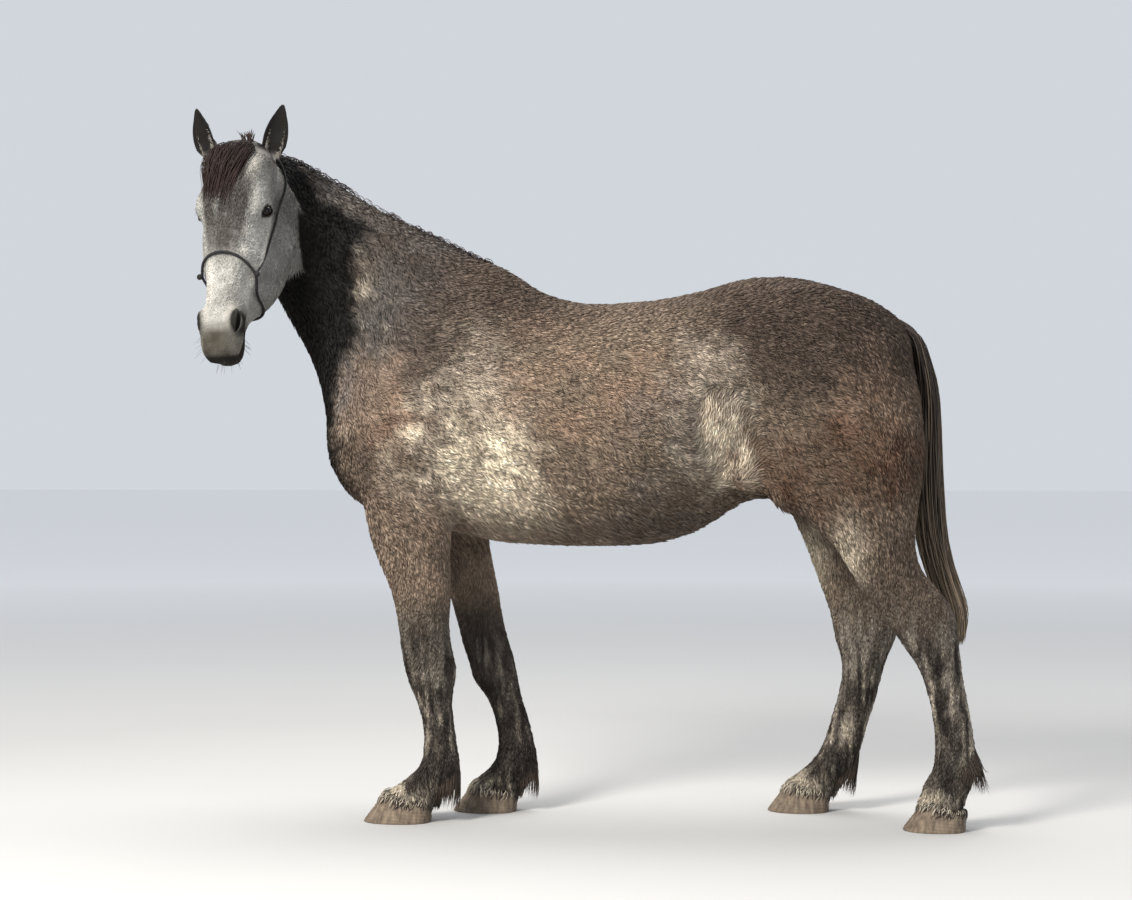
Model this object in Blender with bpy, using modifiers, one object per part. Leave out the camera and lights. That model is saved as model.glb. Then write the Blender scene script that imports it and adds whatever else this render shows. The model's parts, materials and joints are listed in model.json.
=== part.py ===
"""A life-size still model of a young Percheron horse in its winter coat.

It stands on four hooves with its head turned to its left. Metres, +Z up. The horse faces -X
and its left side is towards -Y. The origin is on the floor, at the centre of the bounding box.
Every outline size includes the depth of the winter coat.
"""
import math
import random

import bmesh
import bpy
import numpy as np
from mathutils import Matrix, Vector
from mathutils.bvhtree import BVHTree

# Driving dimensions
# FOOTPRINT_CENTRE is where the origin lies in the frame that the tables below use.
# GAP is the clearance between nodes that meet. HEAD_LENGTH runs from poll to lips.
# EYE_PLACE is down the face, out of it and to the side, as shares of the head's length.
# EAR_PLACE gives for the left and the right ear: down, to the side, outward lean.
FOOTPRINT_CENTRE = (-0.150, -0.080)
GAP = 0.0003
HEAD_LENGTH = 0.692
POLL = Vector((-1.194, -0.320, 2.062))
HEAD_YAW, HEAD_PITCH, HEAD_ROLL = (math.radians(a) for a in (255.5, 17.0, 1.2))
EYE_RADIUS = 0.022
LID_OPENING = (0.0190, 0.0120)
LID_THICKNESS = 0.004
EYE_PLACE = (0.320, -0.080, 0.138)
EAR_LENGTH, EAR_ROOT_TURN = 0.185, 0.080
EAR_PLACE = {1: (0.075, 0.138, 0.05), -1: (0.045, 0.158, 0.42)}
ROPE_RADIUS, NOSEBAND_RADIUS, KNOT_RADIUS = 0.0035, 0.0045, 0.009
ROPE_CLEARANCE = 0.0030
ROPE_ROUNDS, ROPE_SETTLING = 16, 4
NOSEBAND_FRONT, NOSEBAND_BACK = 0.528, 0.715
NOSEBAND_POINTS, CHEEK_POINTS, CROWN_POINTS = 36, 11, 18
TAIL_CLEARANCE = 0.004

# Locks of hair. LOCK_TAPER is the share of the full width at each ring, root first.
LOCK_STEPS = 5
LOCK_TAPER = (0.70, 1.00, 1.00, 0.85, 0.55)
LOCK_ROOT_DEPTH, LOCK_THICKNESS = 0.012, 0.014
MANE_LOCKS, MANE_LENGTH, MANE_WIDTH, MANE_RISE = 14, 0.250, 0.080, 0.006
FORELOCK_LOCKS, FORELOCK_LENGTH, FORELOCK_WIDTH, FORELOCK_RISE = 9, 0.185, 0.036, 0.004
TAIL_LOCKS, TAIL_LOCK_WIDTH, TAIL_LOCK_THICKNESS, TAIL_SIDES, TAIL_END = 12, 0.056, 0.015, 12, 0.050
FEATHER_LOCKS, FEATHER_WIDTH, FEATHER_THICKNESS = 7, 0.037, 0.014
FEATHER_SPREAD, FEATHER_DEPTH = 1.35, 0.062
SEED = 11
RING_SIDES = 48
GOLDEN = 0.618

# Fineness of the flesh: the voxel's size and how often the surface is relaxed.
# LEG_SHARE of the relaxing goes to the legs. From LEG_TOP up to TRUNK_LOW it grows to the whole.
BODY_VOXEL, HEAD_VOXEL = 0.010, 0.006
BODY_RELAX, HEAD_RELAX = 60, 14
LEG_SHARE = 0.10
LEG_TOP, TRUNK_LOW = 0.86, 1.06

# Triangles kept in each node's flesh
TRIANGLES = {"torso": 1600, "neck": 560, "head": 1800, "leg": 460}


def head_axes():
    """Unit vectors down the face, out of the forehead and to the horse's left."""
    forward = Vector((math.cos(HEAD_YAW), math.sin(HEAD_YAW), 0))
    up = Vector((0, 0, 1))
    down_face = math.sin(HEAD_PITCH) * forward - math.cos(HEAD_PITCH) * up
    out_of_face = math.cos(HEAD_PITCH) * forward + math.sin(HEAD_PITCH) * up
    left = up.cross(forward)
    roll = Matrix.Rotation(HEAD_ROLL, 3, out_of_face)
    return roll @ down_face, out_of_face, roll @ left


DOWN_FACE, OUT_OF_FACE, HEAD_LEFT = head_axes()


def on_head(down, out, side):
    """A point given as shares of the head's length from the poll."""
    return POLL + HEAD_LENGTH * (down * DOWN_FACE + out * OUT_OF_FACE + side * HEAD_LEFT)


# Cross-sections. A ring is (front or top point, back or bottom point, half width, share of the way
# from the first point to the second where it is widest, squareness of the first side and the second).

def torso_rings():
    """(x, top, bottom, half width, widest, squareness above and below), breast to buttocks."""
    rows = [
        (-0.965, 1.300, 1.120, 0.090, 0.50, 2.0, 2.0),
        (-0.925, 1.400, 1.020, 0.165, 0.50, 2.0, 2.0),
        (-0.860, 1.510, 0.960, 0.218, 0.55, 1.9, 2.1),
        (-0.760, 1.610, 0.930, 0.252, 0.58, 1.8, 2.1),
        (-0.650, 1.680, 0.900, 0.275, 0.58, 1.7, 2.1),
        (-0.550, 1.716, 0.872, 0.285, 0.58, 1.7, 2.1),
        (-0.433, 1.706, 0.848, 0.288, 0.56, 1.7, 2.1),
        (-0.309, 1.624, 0.840, 0.298, 0.54, 1.9, 2.1),
        (-0.185, 1.585, 0.838, 0.315, 0.52, 2.0, 2.1),
        (-0.060, 1.583, 0.839, 0.328, 0.52, 2.1, 2.1),
        (0.062, 1.594, 0.850, 0.330, 0.52, 2.1, 2.0),
        (0.184, 1.618, 0.890, 0.315, 0.50, 2.1, 1.9),
        (0.307, 1.654, 0.962, 0.296, 0.45, 2.1, 1.8),
        (0.400, 1.662, 0.990, 0.294, 0.45, 2.1, 1.9),
        (0.490, 1.657, 1.000, 0.300, 0.45, 2.1, 1.9),
        (0.612, 1.625, 1.010, 0.298, 0.48, 2.1, 2.0),
        (0.712, 1.588, 1.040, 0.275, 0.48, 2.0, 2.0),
        (0.785, 1.540, 1.100, 0.205, 0.50, 2.0, 2.0),
        (0.830, 1.480, 1.160, 0.110, 0.50, 2.0, 2.0),
    ]
    return [((x, 0, top), (x, 0, low), wide, level, back, belly)
            for x, top, low, wide, level, back, belly in rows]


def neck_rings():
    """(crest point, throat point, half width), withers to poll. The neck bends to the left."""
    rows = [
        ((-0.430, 0.000, 1.692), (-0.930, 0.000, 1.080), 0.205),
        ((-0.560, 0.000, 1.762), (-0.975, 0.000, 1.240), 0.180),
        ((-0.690, 0.000, 1.826), (-1.000, 0.000, 1.345), 0.155),
        ((-0.815, -0.005, 1.890), (-1.035, -0.005, 1.430), 0.136),
        ((-0.930, -0.025, 1.964), (-1.080, -0.030, 1.515), 0.124),
        ((-1.030, -0.065, 2.018), (-1.115, -0.070, 1.600), 0.116),
        ((-1.100, -0.130, 2.042), (-1.145, -0.125, 1.685), 0.108),
        ((-1.145, -0.205, 2.040), (-1.165, -0.185, 1.775), 0.098),
        ((-1.165, -0.260, 2.020), (-1.175, -0.235, 1.850), 0.080),
    ]
    return [(crest, throat, wide, 0.58, 1.7, 2.0) for crest, throat, wide in rows]


def skull_rings():
    """(down and out of the profile point, down and out of the underside point, half width, widest,
    squareness of the profile), poll to upper lip, as shares of the head's length."""
    rows = [
        (-0.020, -0.050, 0.030, -0.170, 0.105, 0.50, 2.0),
        (0.050, 0.004, 0.080, -0.215, 0.146, 0.50, 2.1),
        (0.140, 0.026, 0.170, -0.235, 0.160, 0.50, 2.2),
        (0.240, 0.034, 0.260, -0.245, 0.160, 0.42, 2.3),
        (0.320, 0.028, 0.340, -0.245, 0.160, 0.40, 2.3),
        (0.400, 0.014, 0.420, -0.240, 0.148, 0.48, 2.2),
        (0.490, 0.002, 0.510, -0.228, 0.136, 0.52, 2.1),
        (0.590, -0.006, 0.610, -0.212, 0.116, 0.55, 2.1),
        (0.690, -0.012, 0.710, -0.196, 0.099, 0.55, 2.1),
        (0.790, -0.016, 0.800, -0.184, 0.092, 0.55, 2.1),
        (0.870, -0.022, 0.875, -0.176, 0.098, 0.50, 2.2),
        (0.940, -0.044, 0.940, -0.168, 0.084, 0.50, 2.2),
        (0.990, -0.080, 0.985, -0.158, 0.056, 0.50, 2.0),
    ]
    return [(on_head(down, out, 0), on_head(low_down, low_out, 0),
             wide * HEAD_LENGTH, level, square, 2.0)
            for down, out, low_down, low_out, wide, level, square in rows]


def jaw_rings():
    """The same for the lower jaw, from the angle of the jaw to the chin."""
    rows = [
        (0.120, -0.130, 0.165, -0.340, 0.105),
        (0.220, -0.130, 0.270, -0.430, 0.142),
        (0.330, -0.130, 0.400, -0.460, 0.158),
        (0.450, -0.125, 0.550, -0.440, 0.148),
        (0.570, -0.120, 0.665, -0.372, 0.122),
        (0.690, -0.120, 0.750, -0.280, 0.084),
        (0.800, -0.125, 0.820, -0.228, 0.064),
        (0.880, -0.135, 0.890, -0.232, 0.066),
        (0.940, -0.150, 0.945, -0.222, 0.060),
        (0.975, -0.165, 0.975, -0.202, 0.044),
    ]
    return [(on_head(down, out, 0), on_head(low_down, low_out, 0), wide * HEAD_LENGTH, 0.58, 2.0, 2.1)
            for down, out, low_down, low_out, wide in rows]


def leg_rings(rows):
    """Level rings of a leg from (z, front x, back x, y, half width)."""
    return [((front, y, z), (back, y, z), wide, 0.5, 2.1, 2.1) for z, front, back, y, wide in rows]


# Each leg from where it is buried in the body down to the hoof
LEG_ROWS = {
    "fore_left": [
        (1.200, -0.895, -0.620, -0.165, 0.080), (1.080, -0.882, -0.570, -0.178, 0.092),
        (0.980, -0.840, -0.548, -0.175, 0.094), (0.900, -0.822, -0.560, -0.165, 0.088),
        (0.810, -0.795, -0.567, -0.155, 0.078), (0.700, -0.752, -0.566, -0.145, 0.068),
        (0.600, -0.731, -0.572, -0.138, 0.061), (0.530, -0.722, -0.566, -0.134, 0.061),
        (0.470, -0.711, -0.554, -0.131, 0.063), (0.420, -0.697, -0.558, -0.129, 0.059),
        (0.370, -0.676, -0.566, -0.127, 0.049), (0.300, -0.657, -0.560, -0.125, 0.043),
        (0.240, -0.654, -0.553, -0.123, 0.044), (0.190, -0.658, -0.545, -0.121, 0.052),
        (0.155, -0.678, -0.548, -0.120, 0.056), (0.120, -0.718, -0.562, -0.120, 0.054),
        (0.085, -0.765, -0.590, -0.120, 0.060), (0.040, -0.775, -0.605, -0.120, 0.062)],
    "fore_right": [
        (1.200, -0.865, -0.580, 0.165, 0.080), (1.080, -0.820, -0.520, 0.178, 0.092),
        (0.980, -0.762, -0.492, 0.175, 0.094), (0.900, -0.715, -0.487, 0.165, 0.088),
        (0.810, -0.670, -0.476, 0.155, 0.078), (0.700, -0.618, -0.452, 0.145, 0.068),
        (0.600, -0.585, -0.435, 0.138, 0.061), (0.530, -0.566, -0.418, 0.134, 0.061),
        (0.470, -0.545, -0.400, 0.131, 0.063), (0.410, -0.527, -0.388, 0.129, 0.059),
        (0.350, -0.485, -0.375, 0.127, 0.049), (0.290, -0.462, -0.355, 0.125, 0.043),
        (0.220, -0.450, -0.338, 0.123, 0.044), (0.170, -0.455, -0.328, 0.121, 0.052),
        (0.135, -0.475, -0.328, 0.120, 0.056), (0.105, -0.510, -0.340, 0.120, 0.054),
        (0.080, -0.538, -0.360, 0.120, 0.060), (0.040, -0.550, -0.375, 0.120, 0.062)],
    "hind_left": [
        (1.320, 0.440, 0.835, -0.165, 0.100), (1.180, 0.385, 0.862, -0.190, 0.108),
        (1.070, 0.378, 0.858, -0.205, 0.104), (0.990, 0.430, 0.846, -0.210, 0.097),
        (0.930, 0.487, 0.834, -0.208, 0.091), (0.850, 0.578, 0.828, -0.203, 0.082),
        (0.780, 0.625, 0.846, -0.199, 0.072), (0.720, 0.662, 0.893, -0.197, 0.063),
        (0.660, 0.708, 0.938, -0.195, 0.058), (0.600, 0.752, 0.955, -0.193, 0.059),
        (0.540, 0.795, 0.958, -0.191, 0.058), (0.480, 0.836, 0.964, -0.190, 0.054),
        (0.420, 0.858, 0.974, -0.189, 0.047), (0.360, 0.873, 0.986, -0.188, 0.044),
        (0.290, 0.883, 0.998, -0.187, 0.043), (0.230, 0.885, 1.006, -0.186, 0.047),
        (0.185, 0.880, 1.010, -0.185, 0.053), (0.150, 0.862, 1.000, -0.185, 0.056),
        (0.115, 0.848, 0.985, -0.185, 0.055), (0.080, 0.835, 0.972, -0.185, 0.060),
        (0.040, 0.825, 0.962, -0.185, 0.062)],
    "hind_right": [
        (1.320, 0.425, 0.825, 0.165, 0.100), (1.180, 0.375, 0.848, 0.190, 0.108),
        (1.070, 0.372, 0.838, 0.205, 0.104), (0.970, 0.442, 0.818, 0.210, 0.097),
        (0.920, 0.466, 0.800, 0.208, 0.091), (0.860, 0.500, 0.775, 0.204, 0.083),
        (0.800, 0.523, 0.762, 0.200, 0.074), (0.720, 0.552, 0.776, 0.197, 0.063),
        (0.660, 0.574, 0.800, 0.195, 0.058), (0.600, 0.592, 0.806, 0.193, 0.059),
        (0.540, 0.604, 0.794, 0.191, 0.058), (0.480, 0.622, 0.768, 0.190, 0.054),
        (0.420, 0.625, 0.750, 0.189, 0.047), (0.350, 0.610, 0.732, 0.188, 0.044),
        (0.280, 0.589, 0.709, 0.187, 0.043), (0.220, 0.571, 0.692, 0.186, 0.047),
        (0.170, 0.545, 0.676, 0.185, 0.053), (0.130, 0.507, 0.660, 0.185, 0.056),
        (0.100, 0.466, 0.640, 0.185, 0.055), (0.075, 0.442, 0.620, 0.185, 0.060),
        (0.040, 0.428, 0.604, 0.185, 0.062)],
}

# Each hoof: (toe x, heel x, y)
HOOVES = {
    "fore_left": (-0.835, -0.632, -0.120),
    "fore_right": (-0.588, -0.392, 0.120),
    "hind_left": (0.792, 0.975, -0.185),
    "hind_right": (0.396, 0.585, 0.185),
}

# Muscles and bony points on each side: (name, centre, half sizes, tilt). The left one is at -y.
BODY_FORMS = [
    ("point_of_shoulder", (-0.835, 0.150, 1.185), (0.085, 0.085, 0.110), 20),
    ("breast_muscle", (-0.875, 0.080, 1.150), (0.085, 0.080, 0.125), 12),
    ("shoulder_blade", (-0.640, 0.160, 1.400), (0.110, 0.080, 0.230), -28),
    ("triceps", (-0.640, 0.215, 1.150), (0.140, 0.075, 0.140), 0),
    ("rump", (0.520, 0.120, 1.490), (0.250, 0.160, 0.145), 8),
    ("point_of_hip", (0.330, 0.215, 1.480), (0.075, 0.055, 0.075), 0),
    ("thigh", (0.600, 0.200, 1.200), (0.200, 0.105, 0.220), 0),
    ("buttock", (0.755, 0.120, 1.270), (0.100, 0.100, 0.220), -6),
    ("stifle", (0.465, 0.210, 1.040), (0.085, 0.065, 0.105), 20),
    ("flank_fold", (0.350, 0.195, 1.080), (0.100, 0.060, 0.090), -30),
]
SHEATH = ((0.400, 0.000, 1.005), (0.060, 0.030, 0.036), -12)

# The face's own forms: (name, place as shares of the head's length, half sizes in metres)
FACE_FORMS = [
    ("orbit", (0.300, -0.052, 0.126), (0.050, 0.038, 0.032)),
    ("temple", (0.150, -0.050, 0.105), (0.055, 0.045, 0.030)),
    ("cheek", (0.350, -0.290, 0.108), (0.100, 0.085, 0.032)),
    ("facial_crest", (0.490, -0.105, 0.118), (0.085, 0.014, 0.014)),
    ("nostril_wing", (0.820, -0.060, 0.080), (0.040, 0.028, 0.020)),
    ("upper_lip", (0.945, -0.090, 0.030), (0.026, 0.040, 0.030)),
    ("chin", (0.890, -0.212, 0.020), (0.030, 0.020, 0.022)),
]


# Meshes and Booleans

def remove_everything():
    for item in list(bpy.data.objects):
        bpy.data.objects.remove(item, do_unlink=True)


def new_collection(name):
    group = bpy.data.collections.new(name)
    bpy.context.scene.collection.children.link(group)
    return group


def material(name, colour, roughness):
    made = bpy.data.materials.new(name)
    made.use_nodes = True
    shader = made.node_tree.nodes["Principled BSDF"]
    shader.inputs["Base Color"].default_value = (*colour, 1)
    shader.inputs["Roughness"].default_value = roughness
    shader.inputs["Metallic"].default_value = 0
    return made


def object_of(name, mesh, group):
    made = bpy.data.objects.new(name, mesh)
    group.objects.link(made)
    return made


def mesh_of(work, name):
    """A mesh from a bmesh, with its faces turned outwards."""
    bmesh.ops.recalc_face_normals(work, faces=work.faces[:])
    mesh = bpy.data.meshes.new(name)
    work.to_mesh(mesh)
    work.free()
    return mesh


def catmull_rom(before, start, end, after, share):
    return 0.5 * (2 * start + (end - before) * share
                  + (2 * before - 5 * start + 4 * end - after) * share ** 2
                  + (3 * start - before - 3 * end + after) * share ** 3)


def eased(rows, between):
    """The rows of numbers with smooth rows put between them."""
    rows = np.array(rows, dtype=float)
    last = len(rows) - 1
    made = []
    for i in range(last):
        before, after = rows[max(i - 1, 0)], rows[min(i + 2, last)]
        for k in range(between):
            made.append(catmull_rom(before, rows[i], rows[i + 1], after, k / between))
    made.append(rows[last])
    return np.array(made)


def ring_points(row, along, sides):
    """One closed cross-section. Its side axis lies square to its long axis and to the sweep."""
    first, second = Vector(row[0:3]), Vector(row[3:6])
    wide, widest, square_first, square_second = row[6:10]
    axis = second - first
    middle = first + axis * widest
    across = axis.cross(along).normalized()
    points = []
    for k in range(sides):
        angle = 2 * math.pi * k / sides
        cosine, sine = math.cos(angle), math.sin(angle)
        square = square_first if cosine > 0 else square_second
        reach = -widest if cosine > 0 else 1 - widest
        lengthwise = reach * abs(cosine) ** (2 / square)
        sideways = math.copysign(wide * abs(sine) ** (2 / square), sine)
        points.append(middle + axis * lengthwise + across * sideways)
    return points


def closed_loft(name, rings):
    """A closed skin over rings that have the same number of points, with a cap at each end."""
    work = bmesh.new()
    loops = [[work.verts.new(point) for point in ring] for ring in rings]
    count = len(rings[0])
    for near, far in zip(loops, loops[1:]):
        for k in range(count):
            work.faces.new((near[k], near[(k + 1) % count], far[(k + 1) % count], far[k]))
    work.faces.new(loops[0][::-1])
    work.faces.new(loops[-1])
    return mesh_of(work, name)


def section_loft(name, sections, between=4, sides=RING_SIDES):
    rows = eased([(*first, *second, *rest) for first, second, *rest in sections], between)
    middles = [Vector((row[0:3] + row[3:6]) / 2) for row in rows]
    rings = []
    for k, row in enumerate(rows):
        along = middles[min(k + 1, len(rows) - 1)] - middles[max(k - 1, 0)]
        rings.append(ring_points(row, along, sides))
    return closed_loft(name, rings)


def ball(name, matrix, fineness=3):
    """An icosphere of radius 1 placed and stretched by a matrix."""
    work = bmesh.new()
    bmesh.ops.create_icosphere(work, subdivisions=fineness, radius=1, matrix=matrix)
    return mesh_of(work, name)


def box(name, low, high, matrix=None):
    """A box between two corners."""
    low, high = Vector(low), Vector(high)
    placed = Matrix.Translation((low + high) / 2) @ Matrix.Diagonal((*(high - low), 1))
    work = bmesh.new()
    bmesh.ops.create_cube(work, size=1, matrix=(matrix or Matrix.Identity(4)) @ placed)
    return mesh_of(work, name)


def axes_matrix(x_axis, y_axis, z_axis, origin):
    turned = Matrix((x_axis, y_axis, z_axis)).transposed().to_4x4()
    return Matrix.Translation(origin) @ turned


def bake(item):
    """The object's modifiers are applied to its mesh."""
    graph = bpy.context.evaluated_depsgraph_get()
    mesh = bpy.data.meshes.new_from_object(item.evaluated_get(graph))
    item.modifiers.clear()
    item.data = mesh


def triangle_count(mesh):
    return sum(len(face.vertices) - 2 for face in mesh.polygons)


def combine(item, meshes, operation):
    """One Boolean of the object with a collection of closed meshes, which are then removed."""
    group = new_collection("operands")
    for k, mesh in enumerate(meshes):
        object_of("operand_%02d" % k, mesh, group)
    step = item.modifiers.new("combine", "BOOLEAN")
    step.operation = operation
    step.solver = "EXACT"
    step.operand_type = "COLLECTION"
    step.collection = group
    bake(item)
    for operand in list(group.objects):
        bpy.data.objects.remove(operand, do_unlink=True)
    bpy.data.collections.remove(group)
    keep_largest(item)


def keep_largest(item):
    """The object keeps only its largest closed surface, as triangles."""
    work = bmesh.new()
    work.from_mesh(item.data)
    unseen = set(work.faces)
    shells = []
    while unseen:
        queue = [unseen.pop()]
        shell = set(queue)
        while queue:
            for edge in queue.pop().edges:
                if len(edge.link_faces) != 2:
                    continue
                for face in edge.link_faces:
                    if face in unseen:
                        unseen.remove(face)
                        shell.add(face)
                        queue.append(face)
        shells.append(shell)
    largest = max(shells, key=len)
    bmesh.ops.delete(work, geom=[face for face in work.faces if face not in largest], context="FACES")
    bmesh.ops.dissolve_degenerate(work, edges=work.edges[:], dist=0.00002)
    bmesh.ops.triangulate(work, faces=work.faces[:])
    work.to_mesh(item.data)
    work.free()


# The flesh

def form_ball(name, centre, sizes, tilt, side):
    """A muscle or a bony point as a tilted ellipsoid, on the left (-1), right (1) or middle (0)."""
    place = Matrix.Translation((centre[0], centre[1] * (side or 1), centre[2]))
    turn = Matrix.Rotation(math.radians(tilt), 4, "Y")
    return ball(name, place @ turn @ Matrix.Diagonal((*sizes, 1)))


def face_ball(name, place, sizes, side):
    down, out, across = place
    centre = on_head(down, out, across * side)
    matrix = axes_matrix(DOWN_FACE, OUT_OF_FACE, HEAD_LEFT, centre)
    return ball(name, matrix @ Matrix.Diagonal((*sizes, 1)))


def head_meshes():
    loops = (("skull", skull_rings()), ("jaw", jaw_rings()), ("neck", neck_rings()))
    meshes = [section_loft(name, rings) for name, rings in loops]
    for name, place, sizes in FACE_FORMS:
        meshes += [face_ball(name, place, sizes, side) for side in (-1, 1)]
    return meshes


def body_meshes():
    meshes = [section_loft("trunk", torso_rings())]
    meshes += [section_loft(name, leg_rings(rows)) for name, rows in LEG_ROWS.items()]
    for name, centre, sizes, tilt in BODY_FORMS:
        meshes += [form_ball(name, centre, sizes, tilt, side) for side in (-1, 1)]
    meshes.append(form_ball("sheath", *SHEATH, 0))
    return meshes


def relaxed(mesh, rounds):
    """Each point moves halfway to its neighbours' middle, time after time, with the legs held back."""
    points = np.empty(len(mesh.vertices) * 3)
    mesh.vertices.foreach_get("co", points)
    points = points.reshape(-1, 3)
    ends = np.empty(len(mesh.edges) * 2, dtype=int)
    mesh.edges.foreach_get("vertices", ends)
    near = np.concatenate((ends[0::2], ends[1::2]))
    far = np.concatenate((ends[1::2], ends[0::2]))
    count = np.bincount(near, minlength=len(points))[:, None]
    rise = np.clip((points[:, 2:3] - LEG_TOP) / (TRUNK_LOW - LEG_TOP), 0, 1)
    share = 0.5 * (LEG_SHARE + (1 - LEG_SHARE) * rise)
    for k in range(rounds):
        sums = [np.bincount(near, weights=points[far, axis], minlength=len(points))
                for axis in range(3)]
        points += share * (np.stack(sums, axis=1) / count - points)
    mesh.vertices.foreach_set("co", points.ravel())
    mesh.update()


def blended(name, meshes, voxel, relax, group):
    """The closed meshes melted into one surface and relaxed."""
    work = bmesh.new()
    for mesh in meshes:
        work.from_mesh(mesh)
        bpy.data.meshes.remove(mesh)
    mesh = bpy.data.meshes.new(name)
    work.to_mesh(mesh)
    work.free()
    item = object_of(name, mesh, group)
    remesh = item.modifiers.new("melt", "REMESH")
    remesh.mode = "VOXEL"
    remesh.voxel_size = voxel
    bake(item)
    keep_largest(item)
    relaxed(item.data, relax)
    return item


def carved(name, flesh, triangles, keep, drop, group, margin=0.010):
    """A node cut out of the flesh: cut roughly, simplified, and then cut to its true planes.

    keep and drop are lists of functions that give a cutting mesh grown by a distance."""
    item = object_of(name, flesh.data.copy(), group)
    for cutter in keep:
        combine(item, [cutter(margin)], "INTERSECT")
    if drop:
        combine(item, [cutter(-margin) for cutter in drop], "DIFFERENCE")
    decimate = item.modifiers.new("simplify", "DECIMATE")
    decimate.ratio = triangles / triangle_count(item.data)
    bake(item)
    for cutter in keep:
        combine(item, [cutter(0)], "INTERSECT")
    if drop:
        combine(item, [cutter(GAP) for cutter in drop], "DIFFERENCE")
    return item


# Where the nodes meet

LEG_BOXES = {
    "fore_left": ((-1.000, -0.400, 0.020), (-0.250, -0.030, 0.810)),
    "fore_right": ((-1.000, 0.030, 0.020), (-0.250, 0.400, 0.810)),
    "hind_left": ((0.372, -0.400, 0.020), (1.100, -0.052, 0.985)),
    "hind_right": ((0.372, 0.052, 0.020), (1.100, 0.400, 0.985)),
}
NECK_CREST, NECK_THROAT = Vector((-0.500, 0, 1.730)), Vector((-0.990, 0, 1.285))
CORONET_FRONT, CORONET_BACK = 0.086, 0.050
NECK_REACH = 1.2


def leg_box(name):
    low, high = LEG_BOXES[name]
    return lambda grown: box("box", [v - grown for v in low], [v + grown for v in high])


def above_neck_seam():
    """A block over everything in front of the seam between trunk and neck."""
    down = (NECK_THROAT - NECK_CREST).normalized()
    side = Vector((0, 1, 0))
    forward = down.cross(side).normalized()
    if forward.x > 0:
        forward = -forward
    matrix = axes_matrix(down, side, forward, NECK_CREST)
    far = (NECK_REACH, NECK_REACH, NECK_REACH)
    return lambda grown: box("box", (-NECK_REACH, -NECK_REACH, -grown), far, matrix)


def below_neck_seam():
    """A block over everything behind the same seam."""
    down = (NECK_THROAT - NECK_CREST).normalized()
    side = Vector((0, 1, 0))
    back = down.cross(side).normalized()
    if back.x < 0:
        back = -back
    matrix = axes_matrix(down, side, back, NECK_CREST)
    return box("box", (-NECK_REACH, -NECK_REACH, 0), (NECK_REACH, NECK_REACH, NECK_REACH), matrix)


def head_block():
    """A block round the head, whose back face runs from behind the ears to behind the jaw."""
    start = on_head(-0.03, -0.10, 0)
    end = on_head(0.42, -0.455, 0)
    down = (end - start).normalized()
    side = HEAD_LEFT
    forward = down.cross(side).normalized()
    if forward.dot(OUT_OF_FACE) < 0:
        forward = -forward
    matrix = axes_matrix(down, side, forward, start)
    low, high = (-0.28, -0.17, 0), (0.600, 0.17, 0.80)
    return lambda grown: box("box", [v - grown for v in low], [v + grown for v in high], matrix)


def coronet_plane(name):
    """A block above the slanting top of one hoof."""
    toe, heel, y = HOOVES[name]
    start = Vector((toe + 0.060, y, CORONET_FRONT))
    end = Vector((heel, y, CORONET_BACK))
    along = (end - start).normalized()
    side = Vector((0, 1, 0))
    up = along.cross(side).normalized()
    if up.z < 0:
        up = -up
    matrix = axes_matrix(along, side, up, start)
    return lambda grown: box("box", (-1, -0.5, -grown), (1, 0.5, 1.4), matrix)


def hoof(name, group):
    toe, heel, y = HOOVES[name]
    rows = [
        (0.000, toe + 0.003, heel - 0.002, 0.079),
        (0.006, toe, heel, 0.081),
        (0.050, toe + 0.033, heel + 0.001, 0.073),
        (0.105, toe + 0.071, heel + 0.003, 0.064),
    ]
    sections = [((front, y, z), (back, y, z), wide, 0.52, 2.1, 2.7) for z, front, back, wide in rows]
    item = object_of("hoof_" + name, section_loft("hoof", sections, 1, 22), group)
    combine(item, [coronet_plane(name)(GAP)], "DIFFERENCE")
    return item


# The head

# Height as a share of the ear's length, half width, half depth, how hollow the cup is
EAR_ROWS = [
    (-0.20, 0.022, 0.010, 0.10),
    (0.02, 0.029, 0.013, 0.60),
    (0.20, 0.035, 0.017, 0.80),
    (0.42, 0.036, 0.018, 0.85),
    (0.64, 0.029, 0.014, 0.80),
    (0.82, 0.018, 0.009, 0.70),
    (0.95, 0.009, 0.005, 0.50),
    (1.00, 0.004, 0.003, 0.30),
]


def ear(side):
    """A cupped leaf, open to the front: crescent rings from the base to the tip."""
    down, spread, lean = EAR_PLACE[side]
    base = on_head(down, -0.090, spread * side)
    up = (-DOWN_FACE * 0.95 + HEAD_LEFT * side * lean - OUT_OF_FACE * 0.08).normalized()
    face = (OUT_OF_FACE * 0.92 + HEAD_LEFT * side * 0.38).normalized()
    across = up.cross(face).normalized()
    face = across.cross(up).normalized()
    rings = []
    for height, half, depth, hollow in EAR_ROWS:
        centre = base + up * (height * EAR_LENGTH) + face * (0.010 * math.sin(math.pi * max(height, 0)))
        centre -= HEAD_LEFT * side * EAR_ROOT_TURN * max(0, 0.25 - height)
        ring = []
        for k in range(7):
            angle = math.pi * k / 6
            ring.append(centre - across * (half * math.cos(angle)) - face * (depth * math.sin(angle)))
        for k in range(1, 6):
            angle = math.pi * (6 - k) / 6
            inner = depth * (hollow * math.sin(angle) - (1 - hollow) * 0.9)
            ring.append(centre - across * (half * 0.86 * math.cos(angle)) - face * inner)
        rings.append(ring)
    return closed_loft("ear", rings)


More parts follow.
